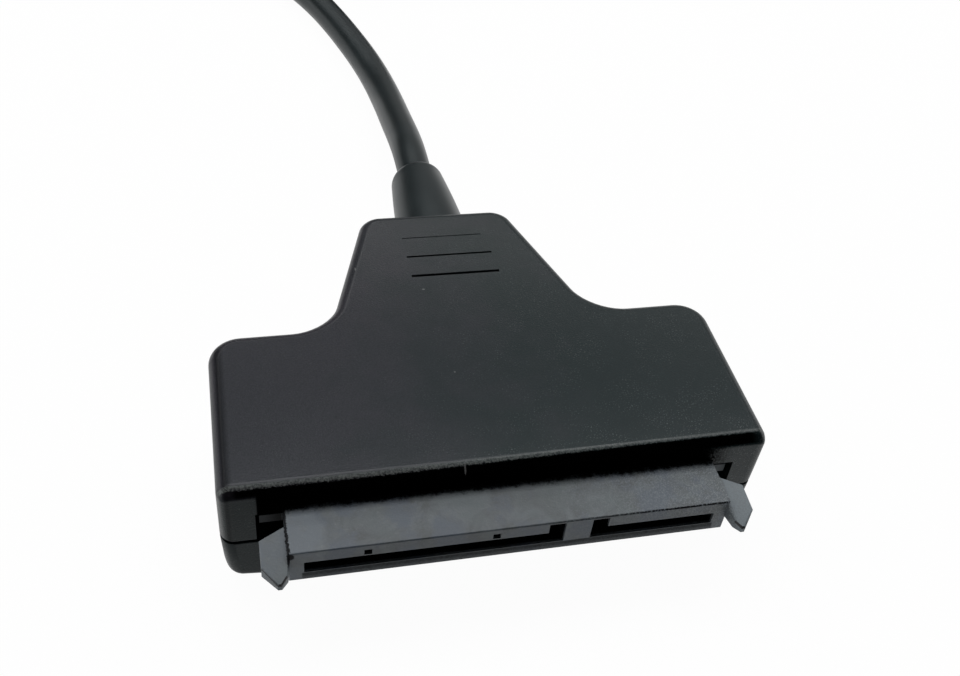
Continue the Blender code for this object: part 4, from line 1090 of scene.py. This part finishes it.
def finish_carried_parts():
    """A finish for every CAD node that stays."""
    gold = metal_finish("contact_gold_flash", (0.80, 0.56, 0.20), 0.25, (1, 0.1, 1))
    nickel = metal_finish("crystal_can", (0.62, 0.62, 0.62), 0.25, (0.2, 1, 1))
    chip = plain_moulding("chip_epoxy", (0.018, 0.018, 0.020), 0.50, 2500)
    ceramic = capacitor_finish("capacitor_ceramic")
    insulation = {
        "power_core": plain_moulding("insulation_red", (0.42, 0.018, 0.015), 0.40),
        "ground_core": plain_moulding("insulation_black", (0.015, 0.015, 0.016), 0.40),
        "data_plus_core": plain_moulding("insulation_green", (0.020, 0.22, 0.045), 0.40),
    }
    white = plain_moulding("insulation_white", (0.70, 0.70, 0.68), 0.40)
    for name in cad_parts:
        if "contact" in name:
            finish_node(name, gold)
        elif name.startswith("capacitor"):
            finish_node(name, ceramic)
        elif name.endswith("_core") or name.endswith("_pair"):
            finish_node(name, insulation.get(name, white))
    for name in ("bridge_chip", "flash_chip", "regulator", "power_inductor", "resistor_1", "resistor_2"):
        finish_node(name, chip)
    finish_node("crystal", nickel)
    finish_node("circuit_board", board_finish("board_solder_mask"))
    finish_node("plug_insert", plain_moulding("plug_insert_blue", (0.012, 0.085, 0.42), 0.35))


# Stage


def make_camera():
    """The photograph's camera."""
    azimuth, elevation, roll = math.radians(-17.223), math.radians(43.036), math.radians(7.342)
    back = Vector((
        math.sin(azimuth) * math.cos(elevation),
        -math.cos(azimuth) * math.cos(elevation),
        math.sin(elevation),
    ))
    right = Vector((0, 0, 1)).cross(back).normalized()
    up = back.cross(right)
    turned_right = math.cos(roll) * right + math.sin(roll) * up
    turned_up = math.cos(roll) * up - math.sin(roll) * right
    data = bpy.data.cameras.new("camera")
    data.lens = 41.49
    data.sensor_width = 36
    data.clip_start = 0.001
    data.clip_end = 20
    place = Matrix((turned_right, turned_up, back)).transposed().to_4x4()
    place.translation = (-0.020617, -0.067914, 0.078536)
    camera = placed("camera", data)
    camera.matrix_world = place
    bpy.context.scene.camera = camera


def make_floor():
    """A plain pale floor that keeps a soft shadow, and that mirrors and the camera see as white."""
    bm = bmesh.new()
    bmesh.ops.create_grid(bm, x_segments=1, y_segments=1, size=4)
    bmesh.ops.translate(bm, verts=bm.verts, vec=(0, 0, -0.00002))
    mesh = mesh_of(bm, "floor")
    material = bpy.data.materials.new("floor_white")
    material.use_nodes = True
    nodes = material.node_tree.nodes
    nodes.clear()
    matt, white = nodes.new("ShaderNodeBsdfDiffuse"), nodes.new("ShaderNodeEmission")
    feed(matt, {"Color": (0.90, 0.90, 0.90, 1)})
    feed(white, {"Color": (1, 1, 1, 1), "Strength": 1.0})
    path = nodes.new("ShaderNodeLightPath").outputs
    seen = largest(path["Is Camera Ray"], path["Is Glossy Ray"], path["Is Transmission Ray"])
    inputs = {0: times(seen, 0.97), 1: matt.outputs[0], 2: white.outputs[0]}
    both = node("ShaderNodeMixShader", inputs).outputs[0]
    node("ShaderNodeOutputMaterial", {"Surface": both})
    mesh.materials.append(material)
    floor = placed("floor", mesh)


def make_world(ambient):
    """White behind everything; for the light, bright low round about and behind, dark in front."""
    world = bpy.data.worlds.new("studio")
    bpy.context.scene.world = world
    world.use_nodes = True
    nodes = world.node_tree.nodes
    nodes.clear()
    across, along, height = axes(nodes.new("ShaderNodeTexCoord").outputs["Generated"])
    fall = largest(ramp(height, 0.605, 0.65, 4.2, 0.22), ramp(height, 0.84, 0.92, 0.22, 0.06))
    fall = maths("MINIMUM", fall, ramp(height, 0.56, 0.60, 0.08, 4.2))
    behind = times(ramp(along, -0.05, 0.45), fall, ramp(across, 0.0, 0.36, 1.40, 0.75))
    aside = maths("ABSOLUTE", across)
    beside = times(ramp(aside, 0.67, 0.86), ramp(height, 0.22, 0.38, 2.1, 0.0))
    right = times(ramp(across, -0.20, 0.30), ramp(height, 0.52, 0.62, 0.55, 0.0))
    low = times(ramp(height, 0.03, 0.12, 0.6, 0.0), ramp(across, -0.66, -0.50))
    round_about = times(largest(beside, right, low), ramp(along, -0.55, -0.25))
    strength = times(largest(behind, round_about, 0.02), ambient)
    path = nodes.new("ShaderNodeLightPath").outputs["Is Camera Ray"]
    final = node("ShaderNodeMix", {0: path, 2: strength, 3: 1.0}).outputs[0]
    shade = node("ShaderNodeBackground", {"Color": (1, 1, 1, 1), "Strength": final})
    node("ShaderNodeOutputWorld", {"Surface": shade.outputs[0]})


def make_lamp(power):
    """A wide soft lamp above the object and behind it."""
    data = bpy.data.lights.new("overhead_lamp", "AREA")
    data.shape = "RECTANGLE"
    data.size, data.size_y = 0.8, 0.27
    data.energy = power
    lamp = placed("overhead_lamp", data)
    lamp.location = (0, 0.24, 0.56)
    way = Vector((0, 0.01, 0)) - lamp.location
    lamp.rotation_euler = way.to_track_quat("-Z", "Y").to_euler()
    lamp.visible_camera = False


class AdapterStep:
    """What every operator of this add-on shares."""

    bl_options = {"REGISTER", "UNDO"}


class ADAPTER_OT_stage(AdapterStep, bpy.types.Operator):
    """Set up the camera, the floor and the soft studio light"""

    bl_idname = "adapter.stage"
    bl_label = "Stage"

    def execute(self, context):
        make_camera()
        make_floor()
        make_world(group("stage").ambient)
        make_lamp(group("stage").overhead)
        context.scene.view_settings.view_transform = "Standard"
        return {"FINISHED"}


class ADAPTER_OT_housing(AdapterStep, bpy.types.Operator):
    """Model the moulded cover and tray"""

    bl_idname = "adapter.housing"
    bl_label = "Housing"

    def execute(self, context):
        make_cover()
        make_tray()
        return {"FINISHED"}


class ADAPTER_OT_receptacle(AdapterStep, bpy.types.Operator):
    """Model the contact block with its slots and guide arms"""

    bl_idname = "adapter.receptacle"
    bl_label = "Receptacle"

    def execute(self, context):
        make_receptacle()
        return {"FINISHED"}


class ADAPTER_OT_lead(AdapterStep, bpy.types.Operator):
    """Model the boot, the plug, the tie and the lead that joins them"""

    bl_idname = "adapter.lead"
    bl_label = "Lead and plug"

    def execute(self, context):
        on_lead = [make_boot(), make_tie(), make_plug_grip(), make_plug_shell()]
        on_lead += [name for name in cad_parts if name.startswith("plug_") and "contact" in name]
        make_lead()
        return {"FINISHED"}


class ADAPTER_OT_carried(AdapterStep, bpy.types.Operator):
    """Give every carried-over part its finish"""

    bl_idname = "adapter.carried"
    bl_label = "Contacts and board"

    def execute(self, context):
        finish_carried_parts()
        return {"FINISHED"}


class ADAPTER_PT_panel(bpy.types.Panel):
    """The adapter's sizes and steps in the sidebar."""

    bl_idname = "ADAPTER_PT_panel"
    bl_label = "Drive adapter"
    bl_space_type = "VIEW_3D"
    bl_region_type = "UI"
    bl_category = "Drive adapter"

    def draw(self, context):
        for name, settings in GROUPS.items():
            part = self.layout.box()
            part.label(text=name.capitalize())
            for key in settings.__annotations__:
                part.prop(group(name), key)
        for step in STEPS:
            self.layout.operator(step.bl_idname)


GROUPS = {
    "housing": ADAPTER_PG_housing,
    "receptacle": ADAPTER_PG_receptacle,
    "lead": ADAPTER_PG_lead,
    "stage": ADAPTER_PG_stage,
}
STEPS = (
    ADAPTER_OT_stage,
    ADAPTER_OT_housing,
    ADAPTER_OT_receptacle,
    ADAPTER_OT_lead,
    ADAPTER_OT_carried,
)


def register():
    """Register the add-on's classes and put its settings on the scene."""
    for name, settings in GROUPS.items():
        bpy.utils.register_class(settings)
        setattr(bpy.types.Scene, f"adapter_{name}", bpy.props.PointerProperty(type=settings))
    for step in (*STEPS, ADAPTER_PT_panel):
        bpy.utils.register_class(step)


def unregister():
    """Take the add-on's classes and settings away again."""
    for step in (ADAPTER_PT_panel, *reversed(STEPS)):
        bpy.utils.unregister_class(step)
    for name, settings in GROUPS.items():
        delattr(bpy.types.Scene, f"adapter_{name}")
        bpy.utils.unregister_class(settings)


def main():
    """Register the add-on and build everything."""
    register()
    bpy.ops.adapter.stage()
    bpy.ops.adapter.housing()
    bpy.ops.adapter.receptacle()
    bpy.ops.adapter.lead()
    bpy.ops.adapter.carried()


if __name__ == "__main__":
    main()
